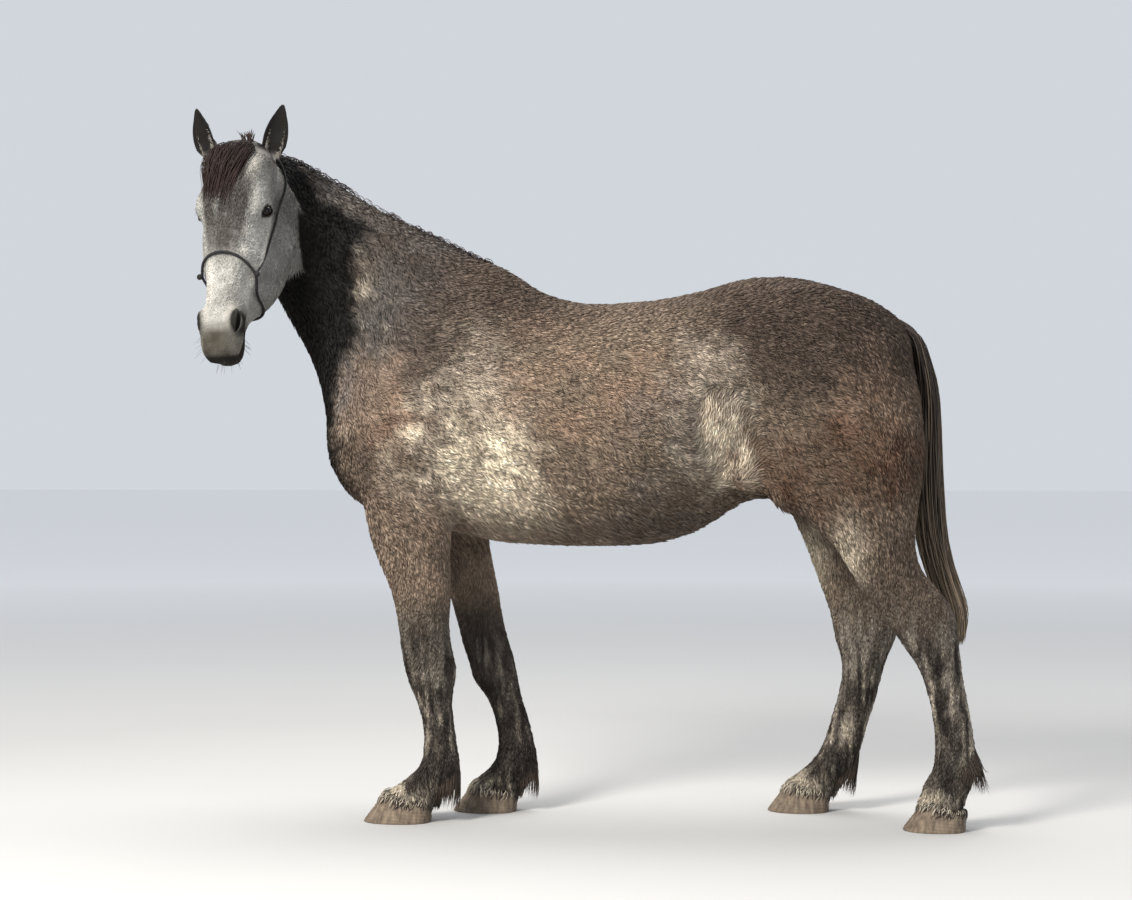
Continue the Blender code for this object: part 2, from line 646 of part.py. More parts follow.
def eye_frame(side):
    """Axes of one eye: along the lids, across them, and the way it looks."""
    down, out, across = EYE_PLACE
    centre = on_head(down, out, across * side)
    looks = (HEAD_LEFT * side * 0.86 + OUT_OF_FACE * 0.50 + DOWN_FACE * 0.05).normalized()
    along = DOWN_FACE * 0.70 + OUT_OF_FACE * 0.70 - HEAD_LEFT * side * 0.41
    along = (along - looks * along.dot(looks)).normalized()
    return axes_matrix(along, looks.cross(along).normalized(), looks, centre)


def eyeball(name, side, grown):
    size = EYE_RADIUS + grown
    return ball(name, eye_frame(side) @ Matrix.Diagonal((size, size, size, 1)), 2)


def lid_slit(side):
    """An almond-shaped prism that opens the lids over the eyeball."""
    frame = eye_frame(side)
    rings = []
    for height in (0.004, 0.050):
        spread = 1 + height * 4
        ring = []
        for k in range(16):
            angle = 2 * math.pi * k / 16
            x = LID_OPENING[0] * math.cos(angle)
            y = LID_OPENING[1] * math.sin(angle) * (abs(math.sin(angle)) ** 0.35)
            ring.append(frame @ Vector((x * spread, y * spread, height)))
        rings.append(ring)
    return closed_loft("slit", rings)


def nostril(side):
    """A slanting comma-shaped pit."""
    centre = on_head(0.812, -0.048, 0.086 * side)
    along = (DOWN_FACE * 0.93 - OUT_OF_FACE * 0.25 - HEAD_LEFT * side * 0.22).normalized()
    out = (HEAD_LEFT * side * 0.75 + OUT_OF_FACE * 0.55 + DOWN_FACE * 0.1)
    out = (out - along * out.dot(along)).normalized()
    matrix = axes_matrix(along, out.cross(along).normalized(), out, centre)
    return ball("nostril", matrix @ Matrix.Diagonal((0.033, 0.0125, 0.022, 1)), 2)


def mouth_cut():
    """A thin wedge between the lips, from one corner of the mouth round the front to the other."""
    rings = []
    for k in range(13):
        turn = math.pi * (k / 12 - 0.5)
        across = math.sin(turn)
        depth = math.cos(turn) ** 0.6
        outer = on_head(0.78 + 0.25 * depth, -0.158 - 0.004 * depth, 0.125 * across)
        inner = on_head(0.76 + 0.170 * depth, -0.158 - 0.004 * depth, 0.055 * across)
        lift = OUT_OF_FACE * 0.0020
        rings.append([inner + lift * 0.4, outer + lift, outer - lift, inner - lift * 0.4])
    return closed_loft("mouth", rings)


# Hair

def lock(path, widths, thickness, facing):
    """A tapered lens-shaped lock along a path. facing is the way its broad side looks."""
    rings = []
    for k, point in enumerate(path[:-1]):
        along = (path[min(k + 1, len(path) - 1)] - path[max(k - 1, 0)]).normalized()
        out = (facing[k] - along * facing[k].dot(along)).normalized()
        across = along.cross(out)
        half, deep = widths[k] / 2, thickness / 2
        side, up = across * half, out * deep
        rings.append([point - side, point + up, point + side, point - up])
    work = bmesh.new()
    loops = [[work.verts.new(corner) for corner in ring] for ring in rings]
    for near, far in zip(loops, loops[1:]):
        for k in range(4):
            work.faces.new((near[k], near[(k + 1) % 4], far[(k + 1) % 4], far[k]))
    work.faces.new(loops[0][::-1])
    tip = work.verts.new(path[-1])
    for k in range(4):
        work.faces.new((loops[-1][k], loops[-1][(k + 1) % 4], tip))
    bmesh.ops.triangulate(work, faces=work.faces[:])
    return mesh_of(work, "lock")


def shared(low, high, share):
    return low + (high - low) * share


def draped(tree, start, flow, length, width, rise):
    """A lock that lies on the surface below it. flow gives its way at a share of its length."""
    near, normal, face, distance = tree.find_nearest(start)
    path, facing = [near - normal * LOCK_ROOT_DEPTH], [normal]
    point = near
    for k in range(1, LOCK_STEPS + 1):
        share = k / LOCK_STEPS
        step = flow(share).normalized() * (length / LOCK_STEPS)
        near, normal, face, distance = tree.find_nearest(point + step)
        point = near + normal * rise * (0.6 + 0.9 * share)
        path.append(point)
        facing.append(normal)
    widths = [width * share for share in LOCK_TAPER]
    return lock(path, widths, LOCK_THICKNESS, facing)


def along_rows(rows, share):
    """A row between the given ones, at a share of the way from the first to the last."""
    eased_rows = eased(rows, 6)
    return eased_rows[round(share * (len(eased_rows) - 1))]


def mane(neck, chance):
    """Locks rooted along the crest that fall on the right of the neck."""
    tree = surface_of([neck])
    crest = [(*first, wide) for first, second, wide, *rest in neck_rings()]
    locks = []
    for k in range(MANE_LOCKS):
        share = 0.10 + 0.86 * (k + 0.5 * chance.random()) / MANE_LOCKS
        row = along_rows(crest, share)
        next_row = along_rows(crest, min(share + 0.08, 1))
        forward = Vector(next_row[0:3] - row[0:3]).normalized()
        side = forward.cross(Vector((0, 0, 1))).normalized()
        sway = chance.uniform(-0.12, 0.22)
        start = Vector(row[0:3]) - side * 0.012

        def flow(part, forward=forward, side=side, sway=sway):
            over = max(0.0, 1 - 2.6 * part)
            down = Vector((0, 0, 0.1 - 1.2 * min(1.0, 2 * part)))
            return side * (0.25 + over) + down - forward * sway * part

        fullness = 0.62 + 0.38 * math.sin(math.pi * min(share * 1.1, 1))
        length = MANE_LENGTH * fullness * chance.uniform(0.85, 1.12)
        width = MANE_WIDTH * chance.uniform(0.85, 1.15)
        locks.append(draped(tree, start, flow, length, width, MANE_RISE))
    return locks


def forelock(head, chance):
    """Locks rooted between the ears that sweep down and to the right of the forehead."""
    tree = surface_of([head])
    locks = []
    for k in range(FORELOCK_LOCKS):
        place = k / (FORELOCK_LOCKS - 1)
        start = on_head(shared(0.010, 0.045, k % 2), -0.030, shared(-0.100, 0.095, place))
        lean = shared(0.10, 0.42, place) + chance.uniform(-0.08, 0.08)

        def flow(part, lean=lean):
            return DOWN_FACE - HEAD_LEFT * lean * (1.1 - 0.5 * part) + OUT_OF_FACE * 0.2

        length = FORELOCK_LENGTH * shared(0.80, 1.05, place) * chance.uniform(0.85, 1.1)
        locks.append(draped(tree, start, flow, length, FORELOCK_WIDTH, FORELOCK_RISE))
    return locks


# The tail from the dock down: x and z of its inner edge, x and z of its outer edge, half width
TAIL_ROWS = [
    (0.790, 1.490, 0.806, 1.530, 0.026),
    (0.822, 1.460, 0.858, 1.490, 0.034),
    (0.842, 1.395, 0.884, 1.405, 0.042),
    (0.850, 1.290, 0.908, 1.290, 0.052),
    (0.848, 1.130, 0.914, 1.130, 0.062),
    (0.850, 0.980, 0.918, 0.980, 0.070),
    (0.866, 0.850, 0.930, 0.856, 0.070),
    (0.895, 0.745, 0.958, 0.756, 0.060),
    (0.938, 0.640, 0.994, 0.645, 0.042),
    (0.964, 0.560, 0.992, 0.555, 0.020),
]


def tail_core():
    """The dock and the packed hair round it."""
    sections = [((front, 0, z), (back, 0, back_z), wide, 0.5, 2, 2)
                for front, z, back, back_z, wide in TAIL_ROWS]
    return section_loft("tail", sections, 1, TAIL_SIDES)


def tail_locks(chance):
    """Long locks round the core, each from its own height down past it to its own tip."""
    locks = []
    for k in range(TAIL_LOCKS):
        turn = 2 * math.pi * k * (1 - GOLDEN) + chance.uniform(-0.2, 0.2)
        first = shared(0.12, 0.52, (k * GOLDEN) % 1)
        last = min(first + chance.uniform(0.42, 0.58), 1.0)
        points = []
        for step in range(LOCK_STEPS + 1):
            share = step / LOCK_STEPS
            front, z, back, back_z, wide = along_rows(TAIL_ROWS, shared(first, last, share))
            reach = shared(0.86, 1.06, math.sin(math.pi * share))
            x = (front + back) / 2 + (back - front) / 2 * math.cos(turn) * reach
            y = wide * math.sin(turn) * reach
            drop = TAIL_END * share ** 3 if last > 0.95 else 0
            points.append(Vector((x + drop * 0.1, y, (z + back_z) / 2 - drop)))
        out = Vector((math.cos(turn), math.sin(turn), 0))
        points[0] -= out * LOCK_ROOT_DEPTH
        widths = [TAIL_LOCK_WIDTH * share for share in LOCK_TAPER]
        locks.append(lock(points, widths, TAIL_LOCK_THICKNESS, [out] * len(points)))
    return locks


# The feather of each leg: x and z at its top, where it is widest and at its tips, and the curl
FEATHER = {
    "fore_left": ((-0.560, 0.300), (-0.527, 0.155), (-0.545, 0.040), 0.000),
    "fore_right": ((-0.358, 0.300), (-0.311, 0.140), (-0.322, 0.052), 0.000),
    "hind_left": ((0.998, 0.310), (1.036, 0.185), (1.022, 0.105), 0.026),
    "hind_right": ((0.707, 0.280), (0.682, 0.140), (0.664, 0.042), 0.004),
}


def feather(name, chance):
    """Locks that fan out behind one fetlock."""
    top, widest, tips, curl = FEATHER[name]
    y = HOOVES[name][2]
    locks = []
    for k in range(FEATHER_LOCKS):
        place = k / (FEATHER_LOCKS - 1)
        turn = shared(-FEATHER_SPREAD, FEATHER_SPREAD, place) + chance.uniform(-0.06, 0.06)
        out = Vector((math.cos(turn), math.sin(turn), 0))
        low = shared(0, 0.35, k % 2)
        depth = FEATHER_DEPTH
        start = Vector((shared(top[0], widest[0], low) - depth, y, shared(top[1], widest[1], low)))
        middle = Vector((widest[0] - depth, y, widest[1]))
        rise = 0.03 * abs(math.sin(turn)) ** 2 + chance.uniform(0, 0.012)
        end = Vector((tips[0] - depth, y, tips[1] + rise))
        bend = 2 * middle - (start + end) / 2
        wide = shared(1.0, 0.74, abs(math.sin(turn)))
        points = []
        for step in range(LOCK_STEPS + 1):
            share = step / LOCK_STEPS
            rest = 1 - share
            base = start * rest ** 2 + bend * 2 * share * rest + end * share ** 2
            reach = depth * wide - LOCK_ROOT_DEPTH * (1 - min(1, 2 * share)) + curl * share ** 3
            points.append(base + out * reach)
        widths = [FEATHER_WIDTH * share for share in LOCK_TAPER]
        locks.append(lock(points, widths, FEATHER_THICKNESS, [out] * len(points)))
    return locks


def hold_clear(item, other, clearance):
    """Every point of the object is moved out until it is clear of the other object's surface."""
    corners = [corner.co.copy() for corner in other.data.vertices]
    tree = BVHTree.FromPolygons(corners, [face.vertices[:] for face in other.data.polygons])
    for corner in item.data.vertices:
        near, normal, face, distance = tree.find_nearest(corner.co)
        inside = (corner.co - near).dot(normal) < 0
        if inside or distance < clearance:
            corner.co = near + normal * clearance


# The halter

def surface_of(items):
    """A search tree over the surfaces of several objects."""
    corners, faces = [], []
    for item in items:
        start = len(corners)
        corners += [corner.co.copy() for corner in item.data.vertices]
        faces += [[start + k for k in face.vertices] for face in item.data.polygons]
    return BVHTree.FromPolygons(corners, faces)


def laid_on(tree, centre, direction, radius):
    """A rope's middle where it lies on the surface, out from a centre along a direction."""
    start = centre + direction * 0.45
    hit, normal, face, distance = tree.ray_cast(start, -direction)
    return (hit or centre) + direction * (radius + ROPE_CLEARANCE)


def pushed_off(point, tree, distance):
    """The point moved out from every face that is nearer than the distance."""
    near, normal, face, away = tree.find_nearest(point)
    if (point - near).dot(normal) < 0:
        point = near + normal * distance
    for near, normal, face, away in tree.find_nearest_range(point, distance):
        short = distance - (point - near).dot(normal)
        if 0 < short < distance * 1.3:
            point = point + normal * short
    return point


def taut(path, tree, radius, closed):
    """The rope drawn smooth along its path and held off the surface."""
    for k in range(ROPE_ROUNDS):
        pulled = []
        for i, point in enumerate(path):
            if not closed and i in (0, len(path) - 1):
                pulled.append(point)
                continue
            middle = (path[i - 1] + path[(i + 1) % len(path)]) / 2
            pulled.append(point.lerp(middle, 0.5 if k < ROPE_ROUNDS - ROPE_SETTLING else 0))
        path = [pushed_off(point, tree, radius + ROPE_CLEARANCE) for point in pulled]
    return path


def rope(name, path, radius, closed):
    """A tube along a path, as a mesh with its caps closed."""
    curve = bpy.data.curves.new(name, "CURVE")
    curve.dimensions = "3D"
    curve.bevel_depth = radius
    curve.bevel_resolution = 1
    curve.use_fill_caps = True
    spline = curve.splines.new("POLY")
    spline.points.add(len(path) - 1)
    for point, place in zip(spline.points, path):
        point.co = (*place, 1)
    spline.use_cyclic_u = closed
    item = bpy.data.objects.new(name, curve)
    bpy.context.scene.collection.objects.link(item)
    mesh = bpy.data.meshes.new_from_object(item.evaluated_get(bpy.context.evaluated_depsgraph_get()))
    bpy.data.objects.remove(item, do_unlink=True)
    work = bmesh.new()
    work.from_mesh(mesh)
    bmesh.ops.remove_doubles(work, verts=work.verts[:], dist=0.0001)
    return mesh_of(work, name)


def noseband_path(tree):
    path = []
    for k in range(NOSEBAND_POINTS):
        turn = 2 * math.pi * k / NOSEBAND_POINTS
        back = (1 - math.cos(turn)) / 2
        centre = on_head(NOSEBAND_FRONT + (NOSEBAND_BACK - NOSEBAND_FRONT) * back, -0.125, 0)
        direction = OUT_OF_FACE * math.cos(turn) + HEAD_LEFT * math.sin(turn)
        path.append(laid_on(tree, centre, direction, NOSEBAND_RADIUS))
    return path


def headpiece_path(tree):
    """From the left of the noseband up the cheek, over the poll behind the ears and down the right."""
    path = []
    for k in range(CHEEK_POINTS):
        share = k / CHEEK_POINTS
        down = 0.585 + (0.13 - 0.585) * share
        out = -0.105 - 0.140 * share ** 0.8
        path.append(laid_on(tree, on_head(down, out, 0), HEAD_LEFT, ROPE_RADIUS))
    for k in range(CROWN_POINTS + 1):
        turn = math.pi * (k / CROWN_POINTS - 0.5)
        direction = -HEAD_LEFT * math.sin(turn) - DOWN_FACE * math.cos(turn)
        centre = on_head(0.13, -0.245 + 0.02 * math.cos(turn), 0)
        path.append(laid_on(tree, centre, direction, ROPE_RADIUS))
    for k in range(CHEEK_POINTS - 1, -1, -1):
        share = k / CHEEK_POINTS
        down = 0.585 + (0.13 - 0.585) * share
        out = -0.105 - 0.140 * share ** 0.8
        path.append(laid_on(tree, on_head(down, out, 0), -HEAD_LEFT, ROPE_RADIUS))
    return path


def halter_paths(head, neck):
    """The middles of the noseband and of the headpiece, and those of their two knots."""
    nose, both = surface_of([head]), surface_of([head, neck])
    noseband = taut(noseband_path(nose), nose, NOSEBAND_RADIUS, True)
    headpiece = headpiece_path(both)
    for end in (0, -1):
        headpiece[end] = min(noseband, key=lambda point: (point - headpiece[end]).length)
    headpiece = taut(headpiece, both, ROPE_RADIUS, False)
    knots = [pushed_off(headpiece[end], nose, KNOT_RADIUS + ROPE_CLEARANCE) for end in (0, -1)]
    return noseband, headpiece, knots


def halter_meshes(paths, grown):
    noseband, headpiece, knots = paths
    meshes = [rope("noseband", noseband, NOSEBAND_RADIUS + grown, True)]
    meshes.append(rope("headpiece", headpiece, ROPE_RADIUS + grown, False))
    for knot in knots:
        meshes.append(ball("knot", Matrix.Translation(knot) @ Matrix.Scale(KNOT_RADIUS + grown, 4), 1))
    return meshes


def halter(head, neck, group):
    """The rope halter. Where it would touch, it presses its own groove into the hair."""
    paths = halter_paths(head, neck)
    first, *rest = halter_meshes(paths, 0)
    item = object_of("halter", first, group)
    combine(item, rest, "UNION")
    for pressed in (head, neck):
        combine(pressed, halter_meshes(paths, 2 * GAP), "DIFFERENCE")


# Building

# Each node's colour and roughness
FINISHES = {
    "trunk": ((0.215, 0.175, 0.135), 0.85),
    "neck": ((0.070, 0.062, 0.056), 0.85),
    "head": ((0.300, 0.290, 0.270), 0.80),
    "leg_fore_left": ((0.062, 0.050, 0.043), 0.82),
    "leg_fore_right": ((0.048, 0.040, 0.036), 0.82),
    "leg_hind_left": ((0.070, 0.056, 0.047), 0.82),
    "leg_hind_right": ((0.052, 0.043, 0.038), 0.82),
    "hoof_fore_left": ((0.190, 0.145, 0.100), 0.70),
    "hoof_fore_right": ((0.180, 0.138, 0.096), 0.70),
    "hoof_hind_left": ((0.175, 0.135, 0.095), 0.70),
    "hoof_hind_right": ((0.185, 0.140, 0.098), 0.70),
    "tail": ((0.120, 0.090, 0.070), 0.75),
    "eye_left": ((0.012, 0.008, 0.006), 0.08),
    "eye_right": ((0.012, 0.008, 0.006), 0.08),
    "halter": ((0.014, 0.013, 0.014), 0.80),
}
SMOOTH = ("hoof_", "eye_", "halter")
SHARP_EDGE = math.radians(40)


def finish(item):
    """The node's own material, and smooth shading where it is round and bare."""
    colour, roughness = FINISHES[item.name]
    item.data.materials.clear()
    item.data.materials.append(material(item.name + "_finish", colour, roughness))
    if item.name.startswith(SMOOTH):
        item.data.shade_smooth()
        item.data.set_sharp_from_angle(angle=SHARP_EDGE)


def build():
    remove_everything()
    chance = random.Random(SEED)
    parts = new_collection("percheron_horse")
    raw = new_collection("raw")
    body = blended("body_flesh", body_meshes() + head_meshes(), BODY_VOXEL, BODY_RELAX, raw)
    head_flesh = blended("head_flesh", head_meshes(), HEAD_VOXEL, HEAD_RELAX, raw)
    seam = above_neck_seam()
    block = head_block()
    carved("trunk", body, TRIANGLES["torso"], [], [leg_box(name) for name in LEG_BOXES] + [seam], parts)
    neck = carved("neck", body, TRIANGLES["neck"], [seam], [block], parts)
    head = carved("head", head_flesh, TRIANGLES["head"], [block], [], parts)
    for name in LEG_BOXES:
        keep = [leg_box(name), coronet_plane(name)]
        leg = carved("leg_" + name, body, TRIANGLES["leg"], keep, [], parts)
        combine(leg, feather(name, chance), "UNION")
        hoof(name, parts)
    combine(head, [ear(-1), ear(1)], "UNION")
    combine(head, [eyeball("lid", side, LID_THICKNESS) for side in (-1, 1)], "UNION")
    cuts = [mouth_cut()]
    for side in (-1, 1):
        cuts += [lid_slit(side), eyeball("socket", side, GAP), nostril(side)]
    combine(head, cuts, "DIFFERENCE")
    combine(head, forelock(head, chance), "UNION")
    combine(neck, mane(neck, chance), "UNION")
    combine(neck, [block(GAP), below_neck_seam()], "DIFFERENCE")
    halter(head, neck, parts)
    for side, name in ((1, "eye_left"), (-1, "eye_right")):
        object_of(name, eyeball(name, side, 0), parts)
    tail = object_of("tail", tail_core(), parts)
    combine(tail, tail_locks(chance), "UNION")
    hold_clear(tail, bpy.data.objects["trunk"], TAIL_CLEARANCE)
    for item in list(raw.objects):
        bpy.data.objects.remove(item, do_unlink=True)
    bpy.data.collections.remove(raw)
    for item in parts.objects:
        finish(item)
        item.location = (-FOOTPRINT_CENTRE[0], -FOOTPRINT_CENTRE[1], 0)


build()
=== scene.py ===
"""The dressed look of the life-size percheron: skin, winter coat, long hair, eyes, hooves and halter.

The horse faces -X with its left side towards -Y and the camera. The tables below use the solids' own frame,
which lies FRAME_SHIFT from the row frame.
"""

import json
import math
import random

import bmesh
import bpy
import numpy as np
from mathutils import Matrix, Vector
from mathutils.bvhtree import BVHTree

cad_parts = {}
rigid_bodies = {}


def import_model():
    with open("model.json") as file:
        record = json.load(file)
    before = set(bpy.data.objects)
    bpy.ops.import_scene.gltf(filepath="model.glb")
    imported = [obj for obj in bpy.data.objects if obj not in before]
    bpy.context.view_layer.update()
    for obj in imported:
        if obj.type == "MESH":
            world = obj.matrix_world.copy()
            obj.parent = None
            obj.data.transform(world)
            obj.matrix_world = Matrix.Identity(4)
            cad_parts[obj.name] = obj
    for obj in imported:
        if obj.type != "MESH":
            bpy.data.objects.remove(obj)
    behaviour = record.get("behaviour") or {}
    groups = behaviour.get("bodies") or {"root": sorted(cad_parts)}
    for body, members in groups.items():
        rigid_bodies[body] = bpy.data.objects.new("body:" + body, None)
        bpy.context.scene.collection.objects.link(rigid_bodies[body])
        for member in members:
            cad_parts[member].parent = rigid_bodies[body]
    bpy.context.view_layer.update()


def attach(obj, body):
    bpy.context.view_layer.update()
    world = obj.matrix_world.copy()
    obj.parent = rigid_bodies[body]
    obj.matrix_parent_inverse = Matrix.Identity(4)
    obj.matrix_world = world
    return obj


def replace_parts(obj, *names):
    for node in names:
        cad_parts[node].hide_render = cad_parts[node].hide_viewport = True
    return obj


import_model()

# Places and sizes that follow the solids
FRAME_SHIFT = Vector((0.150, 0.080, 0.0))
HEAD_LENGTH = 0.692
POLL = Vector((-1.194, -0.320, 2.062))
HEAD_YAW, HEAD_PITCH, HEAD_ROLL = (math.radians(a) for a in (255.5, 17.0, 1.2))
EYE_RADIUS = 0.022
EYE_PLACE = (0.320, -0.080, 0.138)
EAR_LENGTH, EAR_ROOT_TURN = 0.185, 0.080
EAR_PLACE = {1: (0.075, 0.138, 0.05), -1: (0.045, 0.158, 0.42)}
CORONET_FRONT, CORONET_BACK = 0.086, 0.050

# The halter: sizes of the rope, gaps, and how often it is drawn tight
ROPE_RADIUS, NOSEBAND_RADIUS, KNOT_RADIUS = 0.0035, 0.0045, 0.009
ROPE_CLEARANCE = 0.0010
ROPE_ROUNDS, ROPE_SETTLING = 16, 4
ROPE_LAY, ROPE_PITCH = 0.020, 0.0022
NOSEBAND_FRONT, NOSEBAND_BACK = 0.528, 0.715
NOSEBAND_POINTS, CHEEK_POINTS, CROWN_POINTS = 72, 22, 36
CHEEK_LOW, CHEEK_HIGH = 0.585, 0.13
TURN_POINTS, TURN_RADIUS = 24, 0.0034

# The hoof's wall: height, how far its front lies behind the toe and its back behind the heel, half width
HOOF_WALL = ((0.000, 0.003, -0.002, 0.079), (0.006, 0.000, 0.000, 0.081), (0.050, 0.033, 0.001, 0.073),
             (0.105, 0.071, 0.003, 0.064))
HOOF_SQUARENESS = 2.3

# Numbers of strands and of their steps
SEED = 11
MANE_STRANDS, FORELOCK_STRANDS, TAIL_STRANDS, FEATHER_STRANDS = 950, 480, 1000, 230
FRINGE_STRANDS, EAR_STRANDS, LASHES, WHISKERS = 300, 130, 26, 60
STRAND_STEPS, TAIL_STEPS, FRINGE_STEPS, FINE_STEPS = 8, 10, 6, 5
MOST_TUFTS = 48000

# Points round the sections and along the forms of the head
RING_SIDES = 48
EAR_SIDES, LID_SIDES, MOUTH_STEPS, FOLD_STEPS = 14, 48, 36, 22

# The opening between the lids, its edge in the markings, and the folds round it: half length, half width,
# thickness, and the angles where the fold starts and ends
LID_OPENING, LID_EDGE = (0.0210, 0.0140), (0.0225, 0.0160)
LID_THICKNESS = 0.0035
LID_FOLDS = (
    (0.0220, 0.0154, 0.0022, 4, 176),
    (0.0220, 0.0154, 0.0020, 184, 356),
    (0.0250, 0.0200, 0.0022, 25, 150),
    (0.0240, 0.0180, 0.0016, 205, 330),
)

# The nostril's pit with its half sizes, and the places round it that are rounded off and left bare
NOSTRIL_PLACE, NOSTRIL_SIZES = (0.820, -0.046, 0.087), (0.039, 0.0130, 0.024)
NOSTRIL_RIM, NOSTRIL_BARE = (0.812, -0.048, 0.086), (0.812, -0.060, 0.080)
MOUTH_OUT = -0.158

# Fineness of the skin: the voxel's size, how often it is relaxed, and the legs' and the head's share of that
SKIN_VOXEL = 0.0082
SKIN_RELAX = 90
LEG_SHARE, HEAD_SHARE = 0.10, 0.07
LEG_TOP, TRUNK_LOW = 0.86, 1.06

# The back of the head in side view: shares of the head's length down the face, and out of it
JAW_LINE = ((-0.40, 0.00, 0.10, 0.165, 0.270, 0.400, 0.550, 0.665, 0.750, 0.820, 0.990, 1.300),
            (-0.160, -0.180, -0.250, -0.320, -0.415, -0.450, -0.440, -0.380, -0.310, -0.270, -0.260, -0.260))

# Relief of the face on both sides: its place and its reach down, out and sideways as shares of the head's
# length, and its height in metres
FACE_RELIEF = (
    (0.262, -0.028, 0.118, 0.030, 0.034, 0.034, 0.0095),
    (0.200, -0.090, 0.130, 0.040, 0.040, 0.045, -0.0085),
    (0.385, -0.060, 0.135, 0.040, 0.036, 0.040, -0.0075),
    (0.520, -0.120, 0.125, 0.110, 0.014, 0.045, 0.0080),
    (0.400, -0.290, 0.150, 0.110, 0.085, 0.060, 0.0050),
    (0.590, -0.012, 0.062, 0.140, 0.025, 0.018, 0.0035),
    (0.665, -0.080, 0.100, 0.085, 0.036, 0.045, -0.0085),
    (0.600, -0.190, 0.120, 0.090, 0.030, 0.050, -0.0070),
    (0.802, -0.030, 0.072, 0.036, 0.020, 0.020, 0.0085),
    (0.870, -0.085, 0.094, 0.026, 0.024, 0.022, -0.0070),
    (0.870, -0.030, 0.000, 0.060, 0.040, 0.028, -0.0065),
    (0.810, -0.165, 0.080, 0.022, 0.020, 0.030, -0.0055),
    (0.200, 0.030, 0.000, 0.090, 0.050, 0.070, 0.0040),
    (0.930, -0.205, 0.000, 0.040, 0.030, 0.045, 0.0040),
    (0.720, -0.225, 0.060, 0.060, 0.030, 0.040, -0.0040),
    (0.310, -0.190, 0.150, 0.050, 0.040, 0.040, -0.0040),
)

# Depth of the coat over the skin
BODY_COAT, LEG_COAT, FACE_COAT, MUZZLE_COAT = 0.0085, 0.0030, 0.0020, 0.0008


def head_axes():
    """Unit vectors down the face, out of the forehead and to the horse's left."""
    forward = Vector((math.cos(HEAD_YAW), math.sin(HEAD_YAW), 0))
    up = Vector((0, 0, 1))
    down_face = math.sin(HEAD_PITCH) * forward - math.cos(HEAD_PITCH) * up
    out_of_face = math.cos(HEAD_PITCH) * forward + math.sin(HEAD_PITCH) * up
    left = up.cross(forward)
    roll = Matrix.Rotation(HEAD_ROLL, 3, out_of_face)
    return roll @ down_face, out_of_face, roll @ left


DOWN_FACE, OUT_OF_FACE, HEAD_LEFT = head_axes()


def on_head(down, out, side):
    """A point given as shares of the head's length from the poll."""
    return POLL + HEAD_LENGTH * (down * DOWN_FACE + out * OUT_OF_FACE + side * HEAD_LEFT)


# Cross-sections. A ring is (front or top point, back or bottom point, half width, share of the way from the
# first point to the second where it is widest, squareness of the first side, squareness of the second).


def torso_rings():
    """The trunk, breast to buttocks: (x, top, bottom, half width, widest, squareness of back and belly)."""
    rows = [
        (-0.965, 1.300, 1.120, 0.090, 0.50, 2.0, 2.0),
        (-0.925, 1.400, 1.020, 0.165, 0.50, 2.0, 2.0),
        (-0.860, 1.510, 0.960, 0.218, 0.55, 1.9, 2.1),
        (-0.760, 1.610, 0.930, 0.252, 0.58, 1.8, 2.1),
        (-0.650, 1.680, 0.900, 0.275, 0.58, 1.7, 2.1),
        (-0.550, 1.716, 0.872, 0.285, 0.58, 1.7, 2.1),
        (-0.433, 1.706, 0.848, 0.288, 0.56, 1.7, 2.1),
        (-0.309, 1.624, 0.840, 0.298, 0.54, 1.9, 2.1),
        (-0.185, 1.585, 0.838, 0.315, 0.52, 2.0, 2.1),
        (-0.060, 1.583, 0.839, 0.328, 0.52, 2.1, 2.1),
        (0.062, 1.594, 0.850, 0.330, 0.52, 2.1, 2.0),
        (0.184, 1.618, 0.890, 0.315, 0.50, 2.1, 1.9),
        (0.307, 1.654, 0.962, 0.296, 0.45, 2.1, 1.8),
        (0.400, 1.662, 0.990, 0.294, 0.45, 2.1, 1.9),
        (0.490, 1.657, 1.000, 0.300, 0.45, 2.1, 1.9),
        (0.612, 1.625, 1.010, 0.298, 0.48, 2.1, 2.0),
        (0.712, 1.588, 1.040, 0.275, 0.48, 2.0, 2.0),
        (0.785, 1.540, 1.100, 0.205, 0.50, 2.0, 2.0),
        (0.830, 1.480, 1.160, 0.110, 0.50, 2.0, 2.0),
    ]
    return [((x, 0, top), (x, 0, low), wide, level, back, belly)
            for x, top, low, wide, level, back, belly in rows]


def neck_rings():
    """The neck, withers to poll, bent to the left at its top: (crest point, throat point, half width)."""
    rows = [
        ((-0.430, 0.000, 1.692), (-0.930, 0.000, 1.080), 0.205),
        ((-0.560, 0.000, 1.762), (-0.975, 0.000, 1.240), 0.180),
        ((-0.690, 0.000, 1.826), (-1.000, 0.000, 1.345), 0.155),
        ((-0.815, -0.005, 1.890), (-1.035, -0.005, 1.430), 0.136),
        ((-0.930, -0.025, 1.964), (-1.080, -0.030, 1.515), 0.124),
        ((-1.030, -0.065, 2.018), (-1.115, -0.070, 1.600), 0.116),
        ((-1.100, -0.130, 2.042), (-1.145, -0.125, 1.685), 0.108),
        ((-1.145, -0.205, 2.040), (-1.165, -0.185, 1.775), 0.098),
        ((-1.165, -0.260, 2.020), (-1.175, -0.235, 1.850), 0.080),
    ]
    return [(crest, throat, wide, 0.58, 1.7, 2.0) for crest, throat, wide in rows]


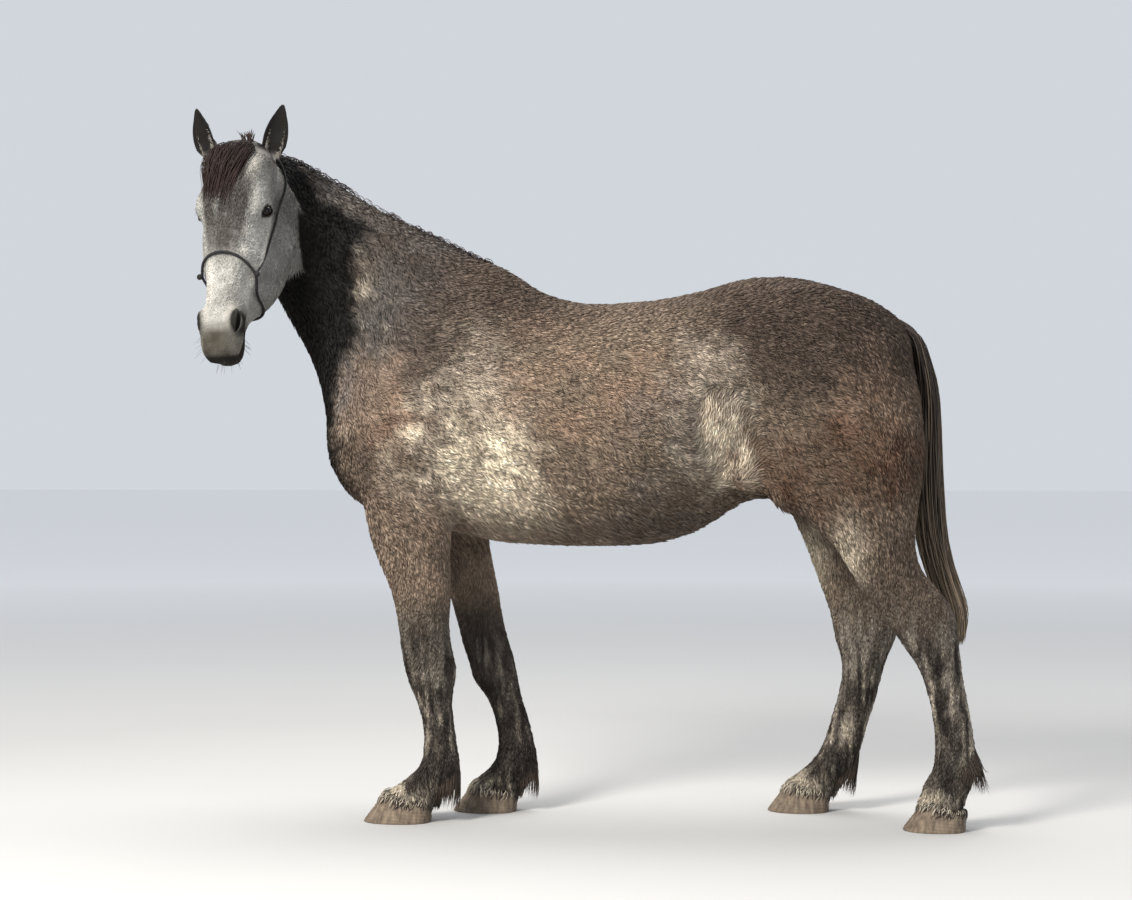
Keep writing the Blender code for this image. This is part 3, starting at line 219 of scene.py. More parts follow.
def skull_rings():
    """(down and out of the profile point, down and out of the underside point, half width, widest,
    squareness of the profile), poll to upper lip, as shares of the head's length."""
    rows = [
        (-0.020, -0.050, 0.030, -0.170, 0.105, 0.50, 2.0),
        (0.050, 0.004, 0.080, -0.215, 0.146, 0.50, 2.1),
        (0.140, 0.026, 0.170, -0.235, 0.160, 0.50, 2.2),
        (0.240, 0.034, 0.260, -0.245, 0.160, 0.42, 2.3),
        (0.320, 0.028, 0.340, -0.245, 0.160, 0.40, 2.3),
        (0.400, 0.014, 0.420, -0.240, 0.148, 0.48, 2.2),
        (0.490, 0.002, 0.510, -0.228, 0.136, 0.52, 2.1),
        (0.590, -0.006, 0.610, -0.212, 0.116, 0.55, 2.1),
        (0.690, -0.012, 0.710, -0.196, 0.099, 0.55, 2.1),
        (0.790, -0.016, 0.800, -0.184, 0.092, 0.55, 2.1),
        (0.870, -0.022, 0.875, -0.176, 0.098, 0.50, 2.2),
        (0.940, -0.044, 0.940, -0.168, 0.084, 0.50, 2.2),
        (0.990, -0.080, 0.985, -0.158, 0.056, 0.50, 2.0),
    ]
    return [(on_head(down, out, 0), on_head(low_down, low_out, 0), wide * HEAD_LENGTH, level, square, 2.0)
            for down, out, low_down, low_out, wide, level, square in rows]


def jaw_rings():
    """The same for the lower jaw, from the angle of the jaw to the chin."""
    rows = [
        (0.120, -0.130, 0.165, -0.340, 0.105),
        (0.220, -0.130, 0.270, -0.430, 0.142),
        (0.330, -0.130, 0.400, -0.460, 0.158),
        (0.450, -0.125, 0.550, -0.440, 0.148),
        (0.570, -0.120, 0.665, -0.372, 0.122),
        (0.690, -0.120, 0.750, -0.280, 0.084),
        (0.800, -0.125, 0.820, -0.228, 0.064),
        (0.880, -0.135, 0.890, -0.232, 0.066),
        (0.940, -0.150, 0.945, -0.222, 0.060),
        (0.975, -0.165, 0.975, -0.202, 0.044),
    ]
    return [(on_head(down, out, 0), on_head(low_down, low_out, 0), wide * HEAD_LENGTH, 0.58, 2.0, 2.1)
            for down, out, low_down, low_out, wide in rows]


def leg_rings(rows):
    """Level rings of a leg from (z, front x, back x, y, half width)."""
    return [((front, y, z), (back, y, z), wide, 0.5, 2.1, 2.1) for z, front, back, y, wide in rows]


# Each leg from where it is buried in the body down to the hoof: (z, front x, back x, y, half width)
LEG_ROWS = {
    "fore_left": [
        (1.200, -0.895, -0.620, -0.165, 0.080), (1.080, -0.882, -0.570, -0.178, 0.092),
        (0.980, -0.840, -0.548, -0.175, 0.094), (0.900, -0.822, -0.560, -0.165, 0.088),
        (0.810, -0.795, -0.567, -0.155, 0.078), (0.700, -0.752, -0.566, -0.145, 0.068),
        (0.600, -0.731, -0.572, -0.138, 0.061), (0.530, -0.722, -0.566, -0.134, 0.061),
        (0.470, -0.711, -0.554, -0.131, 0.063), (0.420, -0.697, -0.558, -0.129, 0.059),
        (0.370, -0.676, -0.566, -0.127, 0.049), (0.300, -0.657, -0.560, -0.125, 0.043),
        (0.240, -0.654, -0.553, -0.123, 0.044), (0.190, -0.658, -0.545, -0.121, 0.052),
        (0.155, -0.678, -0.548, -0.120, 0.056), (0.120, -0.718, -0.562, -0.120, 0.054),
        (0.085, -0.765, -0.590, -0.120, 0.060), (0.040, -0.775, -0.605, -0.120, 0.062)],
    "fore_right": [
        (1.200, -0.865, -0.580, 0.165, 0.080), (1.080, -0.820, -0.520, 0.178, 0.092),
        (0.980, -0.762, -0.492, 0.175, 0.094), (0.900, -0.715, -0.487, 0.165, 0.088),
        (0.810, -0.670, -0.476, 0.155, 0.078), (0.700, -0.618, -0.452, 0.145, 0.068),
        (0.600, -0.585, -0.435, 0.138, 0.061), (0.530, -0.566, -0.418, 0.134, 0.061),
        (0.470, -0.545, -0.400, 0.131, 0.063), (0.410, -0.527, -0.388, 0.129, 0.059),
        (0.350, -0.485, -0.375, 0.127, 0.049), (0.290, -0.462, -0.355, 0.125, 0.043),
        (0.220, -0.450, -0.338, 0.123, 0.044), (0.170, -0.455, -0.328, 0.121, 0.052),
        (0.135, -0.475, -0.328, 0.120, 0.056), (0.105, -0.510, -0.340, 0.120, 0.054),
        (0.080, -0.538, -0.360, 0.120, 0.060), (0.040, -0.550, -0.375, 0.120, 0.062)],
    "hind_left": [
        (1.320, 0.440, 0.835, -0.165, 0.100), (1.180, 0.385, 0.862, -0.190, 0.108),
        (1.070, 0.378, 0.858, -0.205, 0.104), (0.990, 0.430, 0.846, -0.210, 0.097),
        (0.930, 0.487, 0.834, -0.208, 0.091), (0.850, 0.578, 0.828, -0.203, 0.082),
        (0.780, 0.625, 0.846, -0.199, 0.072), (0.720, 0.662, 0.893, -0.197, 0.063),
        (0.660, 0.708, 0.938, -0.195, 0.058), (0.600, 0.752, 0.955, -0.193, 0.059),
        (0.540, 0.795, 0.958, -0.191, 0.058), (0.480, 0.836, 0.964, -0.190, 0.054),
        (0.420, 0.858, 0.974, -0.189, 0.047), (0.360, 0.873, 0.986, -0.188, 0.044),
        (0.290, 0.883, 0.998, -0.187, 0.043), (0.230, 0.885, 1.006, -0.186, 0.047),
        (0.185, 0.880, 1.010, -0.185, 0.053), (0.150, 0.862, 1.000, -0.185, 0.056),
        (0.115, 0.848, 0.985, -0.185, 0.055), (0.080, 0.835, 0.972, -0.185, 0.060),
        (0.040, 0.825, 0.962, -0.185, 0.062)],
    "hind_right": [
        (1.320, 0.425, 0.825, 0.165, 0.100), (1.180, 0.375, 0.848, 0.190, 0.108),
        (1.070, 0.372, 0.838, 0.205, 0.104), (0.970, 0.442, 0.818, 0.210, 0.097),
        (0.920, 0.466, 0.800, 0.208, 0.091), (0.860, 0.500, 0.775, 0.204, 0.083),
        (0.800, 0.523, 0.762, 0.200, 0.074), (0.720, 0.552, 0.776, 0.197, 0.063),
        (0.660, 0.574, 0.800, 0.195, 0.058), (0.600, 0.592, 0.806, 0.193, 0.059),
        (0.540, 0.604, 0.794, 0.191, 0.058), (0.480, 0.622, 0.768, 0.190, 0.054),
        (0.420, 0.625, 0.750, 0.189, 0.047), (0.350, 0.610, 0.732, 0.188, 0.044),
        (0.280, 0.589, 0.709, 0.187, 0.043), (0.220, 0.571, 0.692, 0.186, 0.047),
        (0.170, 0.545, 0.676, 0.185, 0.053), (0.130, 0.507, 0.660, 0.185, 0.056),
        (0.100, 0.466, 0.640, 0.185, 0.055), (0.075, 0.442, 0.620, 0.185, 0.060),
        (0.040, 0.428, 0.604, 0.185, 0.062)],
}

# Each hoof: (toe x, heel x, y)
HOOVES = {
    "fore_left": (-0.835, -0.632, -0.120),
    "fore_right": (-0.588, -0.392, 0.120),
    "hind_left": (0.792, 0.975, -0.185),
    "hind_right": (0.396, 0.585, 0.185),
}

# Muscles and bony points on each side: (name, centre with y made positive, half sizes, tilt in degrees)
BODY_FORMS = [
    ("point_of_shoulder", (-0.835, 0.150, 1.185), (0.085, 0.085, 0.110), 20),
    ("breast_muscle", (-0.875, 0.080, 1.150), (0.085, 0.080, 0.125), 12),
    ("shoulder_blade", (-0.640, 0.160, 1.400), (0.110, 0.080, 0.230), -28),
    ("triceps", (-0.640, 0.215, 1.150), (0.140, 0.075, 0.140), 0),
    ("rump", (0.520, 0.120, 1.490), (0.250, 0.160, 0.145), 8),
    ("point_of_hip", (0.330, 0.215, 1.480), (0.075, 0.055, 0.075), 0),
    ("thigh", (0.600, 0.200, 1.200), (0.200, 0.105, 0.220), 0),
    ("buttock", (0.755, 0.120, 1.270), (0.100, 0.100, 0.220), -6),
    ("stifle", (0.465, 0.210, 1.040), (0.085, 0.065, 0.105), 20),
    ("flank_fold", (0.350, 0.195, 1.080), (0.100, 0.060, 0.090), -30),
]
SHEATH = ((0.400, 0.000, 1.005), (0.060, 0.030, 0.036), -12)


# The face's own forms: (name, place as shares of the head's length, half sizes down, out and sideways)
FACE_FORMS = [
    ("orbit", (0.300, -0.052, 0.126), (0.050, 0.038, 0.032)),
    ("temple", (0.150, -0.050, 0.105), (0.055, 0.045, 0.030)),
    ("cheek", (0.350, -0.290, 0.108), (0.100, 0.085, 0.032)),
    ("facial_crest", (0.490, -0.105, 0.118), (0.085, 0.014, 0.014)),
    ("nostril_wing", (0.820, -0.060, 0.080), (0.040, 0.028, 0.020)),
    ("upper_lip", (0.945, -0.090, 0.030), (0.026, 0.040, 0.030)),
    ("chin", (0.890, -0.212, 0.020), (0.030, 0.020, 0.022)),
]


def object_of(name, mesh, group):
    made = bpy.data.objects.new(name, mesh)
    group.objects.link(made)
    return made


def mesh_of(work, name):
    """A mesh from a bmesh, with its faces turned outwards."""
    bmesh.ops.recalc_face_normals(work, faces=work.faces[:])
    mesh = bpy.data.meshes.new(name)
    work.to_mesh(mesh)
    work.free()
    return mesh


def catmull_rom(before, start, end, after, share):
    return 0.5 * (2 * start + (end - before) * share
                  + (2 * before - 5 * start + 4 * end - after) * share ** 2
                  + (3 * start - before - 3 * end + after) * share ** 3)


def eased(rows, between):
    """The rows of numbers with smooth rows put between them."""
    rows = np.array(rows, dtype=float)
    last = len(rows) - 1
    made = []
    for i in range(last):
        before, after = rows[max(i - 1, 0)], rows[min(i + 2, last)]
        for k in range(between):
            made.append(catmull_rom(before, rows[i], rows[i + 1], after, k / between))
    made.append(rows[last])
    return np.array(made)


def ring_points(row, along, sides):
    """One closed cross-section. The side axis lies square to the section's long axis and to the sweep."""
    first, second = Vector(row[0:3]), Vector(row[3:6])
    wide, widest, square_first, square_second = row[6:10]
    axis = second - first
    middle = first + axis * widest
    across = axis.cross(along).normalized()
    points = []
    for k in range(sides):
        angle = 2 * math.pi * k / sides
        cosine, sine = math.cos(angle), math.sin(angle)
        square = square_first if cosine > 0 else square_second
        reach = -widest if cosine > 0 else 1 - widest
        lengthwise = reach * abs(cosine) ** (2 / square)
        sideways = math.copysign(wide * abs(sine) ** (2 / square), sine)
        points.append(middle + axis * lengthwise + across * sideways)
    return points


def closed_loft(name, rings):
    """A closed skin over rings that have the same number of points, with a cap at each end."""
    work = bmesh.new()
    loops = [[work.verts.new(point) for point in ring] for ring in rings]
    count = len(rings[0])
    for near, far in zip(loops, loops[1:]):
        for k in range(count):
            work.faces.new((near[k], near[(k + 1) % count], far[(k + 1) % count], far[k]))
    work.faces.new(loops[0][::-1])
    work.faces.new(loops[-1])
    return mesh_of(work, name)


def section_loft(name, sections, between=4, sides=RING_SIDES):
    rows = eased([(*first, *second, *rest) for first, second, *rest in sections], between)
    middles = [Vector((row[0:3] + row[3:6]) / 2) for row in rows]
    rings = []
    for k, row in enumerate(rows):
        along = middles[min(k + 1, len(rows) - 1)] - middles[max(k - 1, 0)]
        rings.append(ring_points(row, along, sides))
    return closed_loft(name, rings)


def ball(name, matrix, fineness=3):
    """An icosphere of radius 1 placed and stretched by a matrix."""
    work = bmesh.new()
    bmesh.ops.create_icosphere(work, subdivisions=fineness, radius=1, matrix=matrix)
    return mesh_of(work, name)


def box(name, low, high, matrix=None):
    """A box between two corners."""
    low, high = Vector(low), Vector(high)
    placed = Matrix.Translation((low + high) / 2) @ Matrix.Diagonal((*(high - low), 1))
    work = bmesh.new()
    bmesh.ops.create_cube(work, size=1, matrix=(matrix or Matrix.Identity(4)) @ placed)
    return mesh_of(work, name)


def axes_matrix(x_axis, y_axis, z_axis, origin):
    turned = Matrix((x_axis, y_axis, z_axis)).transposed().to_4x4()
    return Matrix.Translation(origin) @ turned


def combine(item, meshes, operation):
    """One Boolean of the object with a collection of closed meshes, which are then removed."""
    group = bpy.data.collections.new("operands")
    bpy.context.scene.collection.children.link(group)
    for k, mesh in enumerate(meshes):
        object_of("operand_%02d" % k, mesh, group)
    step = item.modifiers.new("combine", "BOOLEAN")
    step.operation = operation
    step.solver = "MANIFOLD"
    step.operand_type = "COLLECTION"
    step.collection = group
    bake(item)
    for operand in list(group.objects):
        bpy.data.objects.remove(operand, do_unlink=True)
    bpy.data.collections.remove(group)


def bake(item):
    """The object's modifiers are applied to its mesh."""
    graph = bpy.context.evaluated_depsgraph_get()
    mesh = bpy.data.meshes.new_from_object(item.evaluated_get(graph))
    item.modifiers.clear()
    item.data = mesh


def keep_largest(item):
    """The object keeps only its largest connected surface."""
    work = bmesh.new()
    work.from_mesh(item.data)
    unseen = set(work.verts)
    shells = []
    while unseen:
        queue = [unseen.pop()]
        shell = set(queue)
        while queue:
            for edge in queue.pop().link_edges:
                for point in edge.verts:
                    if point in unseen:
                        unseen.remove(point)
                        shell.add(point)
                        queue.append(point)
        shells.append(shell)
    largest = max(shells, key=len)
    loose = [point for point in work.verts if point not in largest]
    bmesh.ops.delete(work, geom=loose, context="VERTS")
    work.to_mesh(item.data)
    work.free()


# Numbers over many points at once


def corners_of(mesh):
    points = np.empty(len(mesh.vertices) * 3)
    mesh.vertices.foreach_get("co", points)
    return points.reshape(-1, 3)


def normals_of(mesh):
    normals = np.empty(len(mesh.vertices) * 3)
    mesh.vertices.foreach_get("normal", normals)
    return normals.reshape(-1, 3)


def set_corners(mesh, points):
    mesh.vertices.foreach_set("co", points.ravel())
    mesh.update()


def step_up(low, high, values):
    """0 below low, 1 above high, and smooth between."""
    share = np.clip((values - low) / (high - low), 0, 1)
    return share * share * (3 - 2 * share)


def step_down(low, high, values):
    """1 below low, 0 above high, and smooth between."""
    return 1 - step_up(low, high, values)


def band(values, start, full, fading, end):
    """0 outside start and end, 1 from full to fading."""
    return step_up(start, full, values) * step_down(fading, end, values)


def hill(*pairs):
    """1 in the middle and smoothly down to 0. Each pair is a distance and the reach in its direction."""
    return np.exp(-sum((away / reach) ** 2 for away, reach in pairs))


def blended(one, other, share):
    """The first, turned into the second where the share is 1."""
    return one * (1 - share) + other * share


# Large primes that scatter the cells of the noise, its largest number, and the shortest length divided by
CELL_PRIMES, MIXING_PRIME, SEED_STEP = (73856093, 19349663, 83492791), 1274126177, 2654435
LARGEST = 0x7fffffff
SHORTEST = 1e-9


def noise(points, size, seed):
    """Smooth random numbers between 0 and 1, with bumps of about the given size."""
    places = points / size + seed * 17.31
    base = np.floor(places).astype(np.int64)
    part = places - base
    part = part * part * (3 - 2 * part)
    total = np.zeros(len(points))
    for corner in range(8):
        offset = np.array([corner & 1, corner >> 1 & 1, corner >> 2 & 1])
        cell = base + offset
        mixed = seed * SEED_STEP
        for axis, prime in enumerate(CELL_PRIMES):
            mixed = mixed ^ (cell[:, axis] * prime)
        mixed = (mixed ^ (mixed >> 13)) * MIXING_PRIME & LARGEST
        weight = np.prod(np.where(offset, part, 1 - part), axis=1)
        total += weight * (mixed % 65537) / 65536
    return total


def cloudy(points, size, seed):
    """Two sizes of noise together, between 0 and 1."""
    return 0.65 * noise(points, size, seed) + 0.35 * noise(points, size * 0.42, seed + 5)


def patch(points, centre, sizes, tilt=0.0, soft=0.45):
    """1 at an ellipse in side view that fades to 0, for a marking. tilt turns it in side view."""
    turn = math.radians(tilt)
    x = points[:, 0] - centre[0]
    z = points[:, 2] - centre[1]
    along = (x * math.cos(turn) + z * math.sin(turn)) / sizes[0]
    across = (-x * math.sin(turn) + z * math.cos(turn)) / sizes[1]
    reach = np.sqrt(along ** 2 + across ** 2)
    return 1 - step_up(1 - soft, 1 + soft, reach)


def unit(vectors):
    """The vectors at length 1. Those of no length stay as they are."""
    return vectors / np.maximum(np.linalg.norm(vectors, axis=-1, keepdims=True), SHORTEST)


# Where a point lies on the horse


def head_place(points):
    """Each point's place as shares of the head's length: down the face, out of it and to the left."""
    away = points - np.array(POLL)
    axes = np.array([DOWN_FACE, OUT_OF_FACE, HEAD_LEFT])
    return away @ axes.T / HEAD_LENGTH


def head_share(points):
    """1 on the head and 0 on the neck and body, parted along the back of the jaw."""
    down, out, side = head_place(points).T
    back = np.interp(down, JAW_LINE[0], JAW_LINE[1])
    return step_up(-0.012, 0.020, out - back) * band(down, -0.35, -0.25, 1.15, 1.25) * (np.abs(side) < 0.45)


def ear_place(points, side):
    """How high each point lies along an ear, and how far from its axis."""
    base, up, across, face = (np.array(part) for part in ear_frame(side))
    away = points - base
    height = away @ up
    return height, np.linalg.norm(away - height[:, None] * up, axis=1)


def ear_share(points):
    """1 on the ears, 0 on the rest, and the way that each ear points."""
    share = np.zeros(len(points))
    ways = np.zeros((len(points), 3))
    for side in (-1, 1):
        height, reach = ear_place(points, side)
        own = step_up(0.012, 0.035, height) * step_down(0.045, 0.060, reach)
        share = np.maximum(share, own)
        ways += own[:, None] * np.array(ear_frame(side)[1])
    return share, ways

def neck_share(points):
    """1 on the neck and 0 behind the shoulder."""
    line = (points[:, 0] + 0.66) * 0.89 - (points[:, 2] - 1.55) * 0.44
    return step_down(-0.12, 0.10, line) * (1 - head_share(points)) * step_up(1.10, 1.25, points[:, 2])


def coat_depth(points):
    """How far the coat stands over the skin at each point."""
    down, out, side = head_place(points).T
    face = blended(FACE_COAT, MUZZLE_COAT, step_up(0.72, 0.85, down))
    body = blended(BODY_COAT, LEG_COAT, step_down(0.45, 0.95, points[:, 2]))
    return blended(body, face, head_share(points))


# The skin


def head_meshes():
    loops = (("skull", skull_rings()), ("jaw", jaw_rings()), ("neck", neck_rings()))
    meshes = [section_loft(name, rings) for name, rings in loops]
    for name, place, sizes in FACE_FORMS:
        meshes += [face_ball(name, place, sizes, side) for side in (-1, 1)]
    return meshes


def form_ball(name, centre, sizes, tilt, side):
    place = Matrix.Translation((centre[0], centre[1] * (side or 1), centre[2]))
    return ball(name, place @ Matrix.Rotation(math.radians(tilt), 4, "Y") @ Matrix.Diagonal((*sizes, 1)))


def face_ball(name, place, sizes, side):
    down, out, across = place
    centre = on_head(down, out, across * side)
    matrix = axes_matrix(DOWN_FACE, OUT_OF_FACE, HEAD_LEFT, centre)
    return ball(name, matrix @ Matrix.Diagonal((*sizes, 1)))


def body_meshes():
    meshes = [section_loft("trunk", torso_rings())]
    meshes += [section_loft(name, leg_rings(rows)) for name, rows in LEG_ROWS.items()]
    for name, centre, sizes, tilt in BODY_FORMS:
        meshes += [form_ball(name, centre, sizes, tilt, side) for side in (-1, 1)]
    meshes.append(form_ball("sheath", *SHEATH, 0))
    return meshes


def edge_ends(mesh):
    ends = np.empty(len(mesh.edges) * 2, dtype=np.int64)
    mesh.edges.foreach_get("vertices", ends)
    return np.concatenate((ends[0::2], ends[1::2])), np.concatenate((ends[1::2], ends[0::2]))


def relaxed(mesh, rounds, share):
    """Each point moves by its share towards its neighbours' middle, time after time."""
    points = corners_of(mesh)
    near, far = edge_ends(mesh)
    count = np.maximum(np.bincount(near, minlength=len(points)), 1)[:, None]
    for k in range(rounds):
        sums = [np.bincount(near, weights=points[far, axis], minlength=len(points)) for axis in range(3)]
        points += share * (np.stack(sums, axis=1) / count - points)
    set_corners(mesh, points)


def melted(name, meshes, voxel):
    """The closed meshes melted into one surface."""
    work = bmesh.new()
    for mesh in meshes:
        work.from_mesh(mesh)
        bpy.data.meshes.remove(mesh)
    mesh = bpy.data.meshes.new(name)
    work.to_mesh(mesh)
    work.free()
    item = object_of(name, mesh, bpy.context.scene.collection)
    remesh = item.modifiers.new("melt", "REMESH")
    remesh.mode = "VOXEL"
    remesh.voxel_size = voxel
    bake(item)
    keep_largest(item)
    return item


def finer_head(mesh):
    """The faces of the head are divided once."""
    points = corners_of(mesh)
    inside = head_share(points) > 0.5
    work = bmesh.new()
    work.from_mesh(mesh)
    work.verts.ensure_lookup_table()
    chosen = [edge for edge in work.edges if inside[edge.verts[0].index] and inside[edge.verts[1].index]]
    bmesh.ops.subdivide_edges(work, edges=chosen, cuts=1, use_grid_fill=True)
    bmesh.ops.triangulate(work, faces=work.faces[:])
    work.to_mesh(mesh)
    work.free()


def face_relief(points):
    """How far each point of the head stands out or in for its bones, muscles and folds."""
    down, out, side = head_place(points).T
    total = np.zeros(len(points))
    for at_down, at_out, at_side, long, deep, wide, height in FACE_RELIEF:
        for flip in ((-1, 1) if at_side else (1,)):
            away = ((down - at_down) / long) ** 2 + ((out - at_out) / deep) ** 2
            total += height * np.exp(-away - ((side - at_side * flip) / wide) ** 2)
    return total


def near_features(points):
    """1 near the eyes, nostrils and lips, where the cuts are rounded off."""
    places = [on_head(*EYE_PLACE[:2], EYE_PLACE[2] * side) for side in (-1, 1)]
    places += [on_head(*NOSTRIL_RIM[:2], NOSTRIL_RIM[2] * side) for side in (-1, 1)]
    share = np.zeros(len(points))
    for place in places:
        away = np.linalg.norm(points - np.array(place), axis=1)
        share = np.maximum(share, step_down(0.040, 0.060, away))
    down, out, side = head_place(points).T
    lips = step_up(0.76, 0.82, down) * step_down(0.03, 0.06, np.abs(out - MOUTH_OUT))
    return np.maximum(share, lips)


def made_skin():
    """The skin as one closed surface, and search trees over the top of the coat and over the head alone."""
    item = melted("skin", body_meshes() + head_meshes(), SKIN_VOXEL)
    points = corners_of(item.data)
    legs = LEG_SHARE + (1 - LEG_SHARE) * np.clip((points[:, 2] - LEG_TOP) / (TRUNK_LOW - LEG_TOP), 0, 1)
    share = legs + (HEAD_SHARE - legs) * head_share(points)
    relaxed(item.data, SKIN_RELAX, 0.5 * share[:, None])
    tree = tree_of(item.data)
    nose = head_tree(item.data)
    finer_head(item.data)
    points = corners_of(item.data)
    relaxed(item.data, 2, 0.4 * head_share(points)[:, None])
    points, normals = corners_of(item.data), normals_of(item.data)
    away = face_relief(points) * head_share(points) - coat_depth(points)
    set_corners(item.data, points + normals * away[:, None])
    open_features(item)
    points = corners_of(item.data)
    relaxed(item.data, 4, 0.35 * near_features(points)[:, None])
    item.data.shade_smooth()
    return item, tree, nose


def open_features(item):
    """Ears and lids are joined to the skin. Eye sockets, nostrils and the mouth are cut into it."""
    joined = [ear(-1), ear(1), lid_ball(-1), lid_ball(1)]
    joined += [rim for side in (-1, 1) for rim in folds(side)]
    combine(item, joined, "UNION")
    cuts = [mouth_cut()]
    for side in (-1, 1):
        cuts += [lid_slit(side), eyeball("socket", side, 0.0002), nostril(side)]
    combine(item, cuts, "DIFFERENCE")


def head_tree(mesh):
    """A search tree over the head alone."""
    points = corners_of(mesh)
    share = head_share(points)
    faces = [face.vertices[:] for face in mesh.polygons]
    inside = [face for face in faces if min(share[k] for k in face) > 0.3]
    return BVHTree.FromPolygons(points.tolist(), inside)


def tree_of(mesh):
    corners = [corner.co.copy() for corner in mesh.vertices]
    return BVHTree.FromPolygons(corners, [face.vertices[:] for face in mesh.polygons])


# The forms of the head


def ear_frame(side):
    """The root of an ear, the way it points, the way across it and the way it opens."""
    down, spread, lean = EAR_PLACE[side]
    base = on_head(down, -0.090, spread * side)
    up = (-DOWN_FACE * 0.95 + HEAD_LEFT * side * lean - OUT_OF_FACE * 0.08).normalized()
    face = (OUT_OF_FACE * 0.92 + HEAD_LEFT * side * 0.38).normalized()
    across = up.cross(face).normalized()
    return base, up, across, across.cross(up).normalized()


def ear(side):
    """A cupped leaf, open to the front: crescent rings from the base to the tip."""
    base, up, across, face = ear_frame(side)
    rows = [
        (-0.20, 0.022, 0.010, 0.100), (0.02, 0.029, 0.013, 0.60), (0.20, 0.035, 0.017, 0.80),
        (0.42, 0.036, 0.018, 0.85), (0.64, 0.029, 0.014, 0.80), (0.82, 0.018, 0.009, 0.70),
        (0.95, 0.009, 0.005, 0.50), (1.00, 0.004, 0.003, 0.30)]
    rings = []
    for height, half, depth, hollow in eased(rows, 4):
        centre = base + up * (height * EAR_LENGTH) + face * (0.010 * math.sin(math.pi * max(height, 0)))
        centre -= HEAD_LEFT * side * EAR_ROOT_TURN * max(0, 0.25 - height)
        ring = []
        for k in range(EAR_SIDES + 1):
            angle = math.pi * k / EAR_SIDES
            ring.append(centre - across * (half * math.cos(angle)) - face * (depth * math.sin(angle)))
        for k in range(1, EAR_SIDES):
            angle = math.pi * (EAR_SIDES - k) / EAR_SIDES
            inner = depth * (hollow * math.sin(angle) - (1 - hollow) * 0.9)
            ring.append(centre - across * (half * 0.90 * math.cos(angle)) - face * inner)
        rings.append(ring)
    return closed_loft("ear", rings)


def eye_frame(side):
    """Axes of one eye: along the lids, across them, and the way it looks."""
    down, out, across = EYE_PLACE
    centre = on_head(down, out, across * side)
    looks = (HEAD_LEFT * side * 0.86 + OUT_OF_FACE * 0.50 + DOWN_FACE * 0.05).normalized()
    along = DOWN_FACE * 0.70 + OUT_OF_FACE * 0.70 - HEAD_LEFT * side * 0.41
    along = (along - looks * along.dot(looks)).normalized()
    return axes_matrix(along, looks.cross(along).normalized(), looks, centre)


def eyeball(name, side, grown, fineness=4):
    size = EYE_RADIUS + grown
    return ball(name, eye_frame(side) @ Matrix.Diagonal((size, size, size, 1)), fineness)


def lid_ball(side):
    return eyeball("lid", side, LID_THICKNESS)


def almond(turn, long, wide):
    """A point on the opening between the lids, in the eye's own plane."""
    sine = math.sin(turn)
    return long * math.cos(turn), wide * sine * abs(sine) ** 0.35


def lid_slit(side):
    """An almond-shaped prism that opens the lids over the eyeball."""
    placed = eye_frame(side)
    rings = []
    for height in (0.004, 0.050):
        spread = 1 + height * 4
        ring = []
        for k in range(LID_SIDES):
            x, y = almond(2 * math.pi * k / LID_SIDES, *LID_OPENING)
            ring.append(placed @ Vector((x * spread, y * spread, height)))
        rings.append(ring)
    return closed_loft("slit", rings)


def folds(side):
    """The thick rims of both lids and the folds above and below the eye."""
    placed = eye_frame(side)
    made = []
    for long, wide, radius, low, high in LID_FOLDS:
        path = []
        for k in range(FOLD_STEPS + 1):
            x, y = almond(math.radians(low + (high - low) * k / FOLD_STEPS), long, wide)
            reach = math.sqrt(max((EYE_RADIUS + 0.0030) ** 2 - x * x - y * y, 0.010 ** 2))
            path.append(placed @ Vector((x, y, reach)))
        ends = [math.sin(math.pi * (k + 0.6) / (FOLD_STEPS + 1.2)) ** 0.5 for k in range(FOLD_STEPS + 1)]
        made.append(tube("fold", path, [radius * share for share in ends], 10))
    return made


def nostril(side):
    """A slanting comma-shaped pit."""
    centre = on_head(*NOSTRIL_PLACE[:2], NOSTRIL_PLACE[2] * side)
    along = (DOWN_FACE * 0.93 - OUT_OF_FACE * 0.25 - HEAD_LEFT * side * 0.22).normalized()
    out = (HEAD_LEFT * side * 0.75 + OUT_OF_FACE * 0.55 + DOWN_FACE * 0.1)
    out = (out - along * out.dot(along)).normalized()
    matrix = axes_matrix(along, out.cross(along).normalized(), out, centre)
    return ball("nostril", matrix @ Matrix.Diagonal((*NOSTRIL_SIZES, 1)), 4)


def mouth_cut():
    """A thin wedge between the lips, from one corner of the mouth round the front to the other."""
    rings = []
    for k in range(MOUTH_STEPS + 1):
        turn = math.pi * (k / MOUTH_STEPS - 0.5)
        across = math.sin(turn)
        depth = math.cos(turn) ** 0.6 if abs(turn) < math.pi / 2 - 1e-6 else 0.0
        out = MOUTH_OUT - 0.004 * depth
        outer = on_head(0.78 + 0.25 * depth, out, 0.125 * across)
        inner = on_head(0.76 + 0.170 * depth, out, 0.055 * across)
        lift = OUT_OF_FACE * 0.0020
        rings.append([inner + lift * 0.4, outer + lift, outer - lift, inner - lift * 0.4])
    return closed_loft("mouth", rings)


def carried(points):
    """For each point of a path, the way along it and two axes across it that don't twist."""
    axes = []
    last = len(points) - 1
    side = None
    for k in range(last + 1):
        along = (points[min(k + 1, last)] - points[max(k - 1, 0)]).normalized()
        side = along.orthogonal() if side is None else side - along * side.dot(along)
        side.normalize()
        axes.append((side.copy(), along.cross(side)))
    return axes


def round_ring(centre, one, other, radius, sides):
    """Points of a circle about a centre."""
    turns = [2 * math.pi * k / sides for k in range(sides)]
    return [centre + (one * math.cos(turn) + other * math.sin(turn)) * radius for turn in turns]


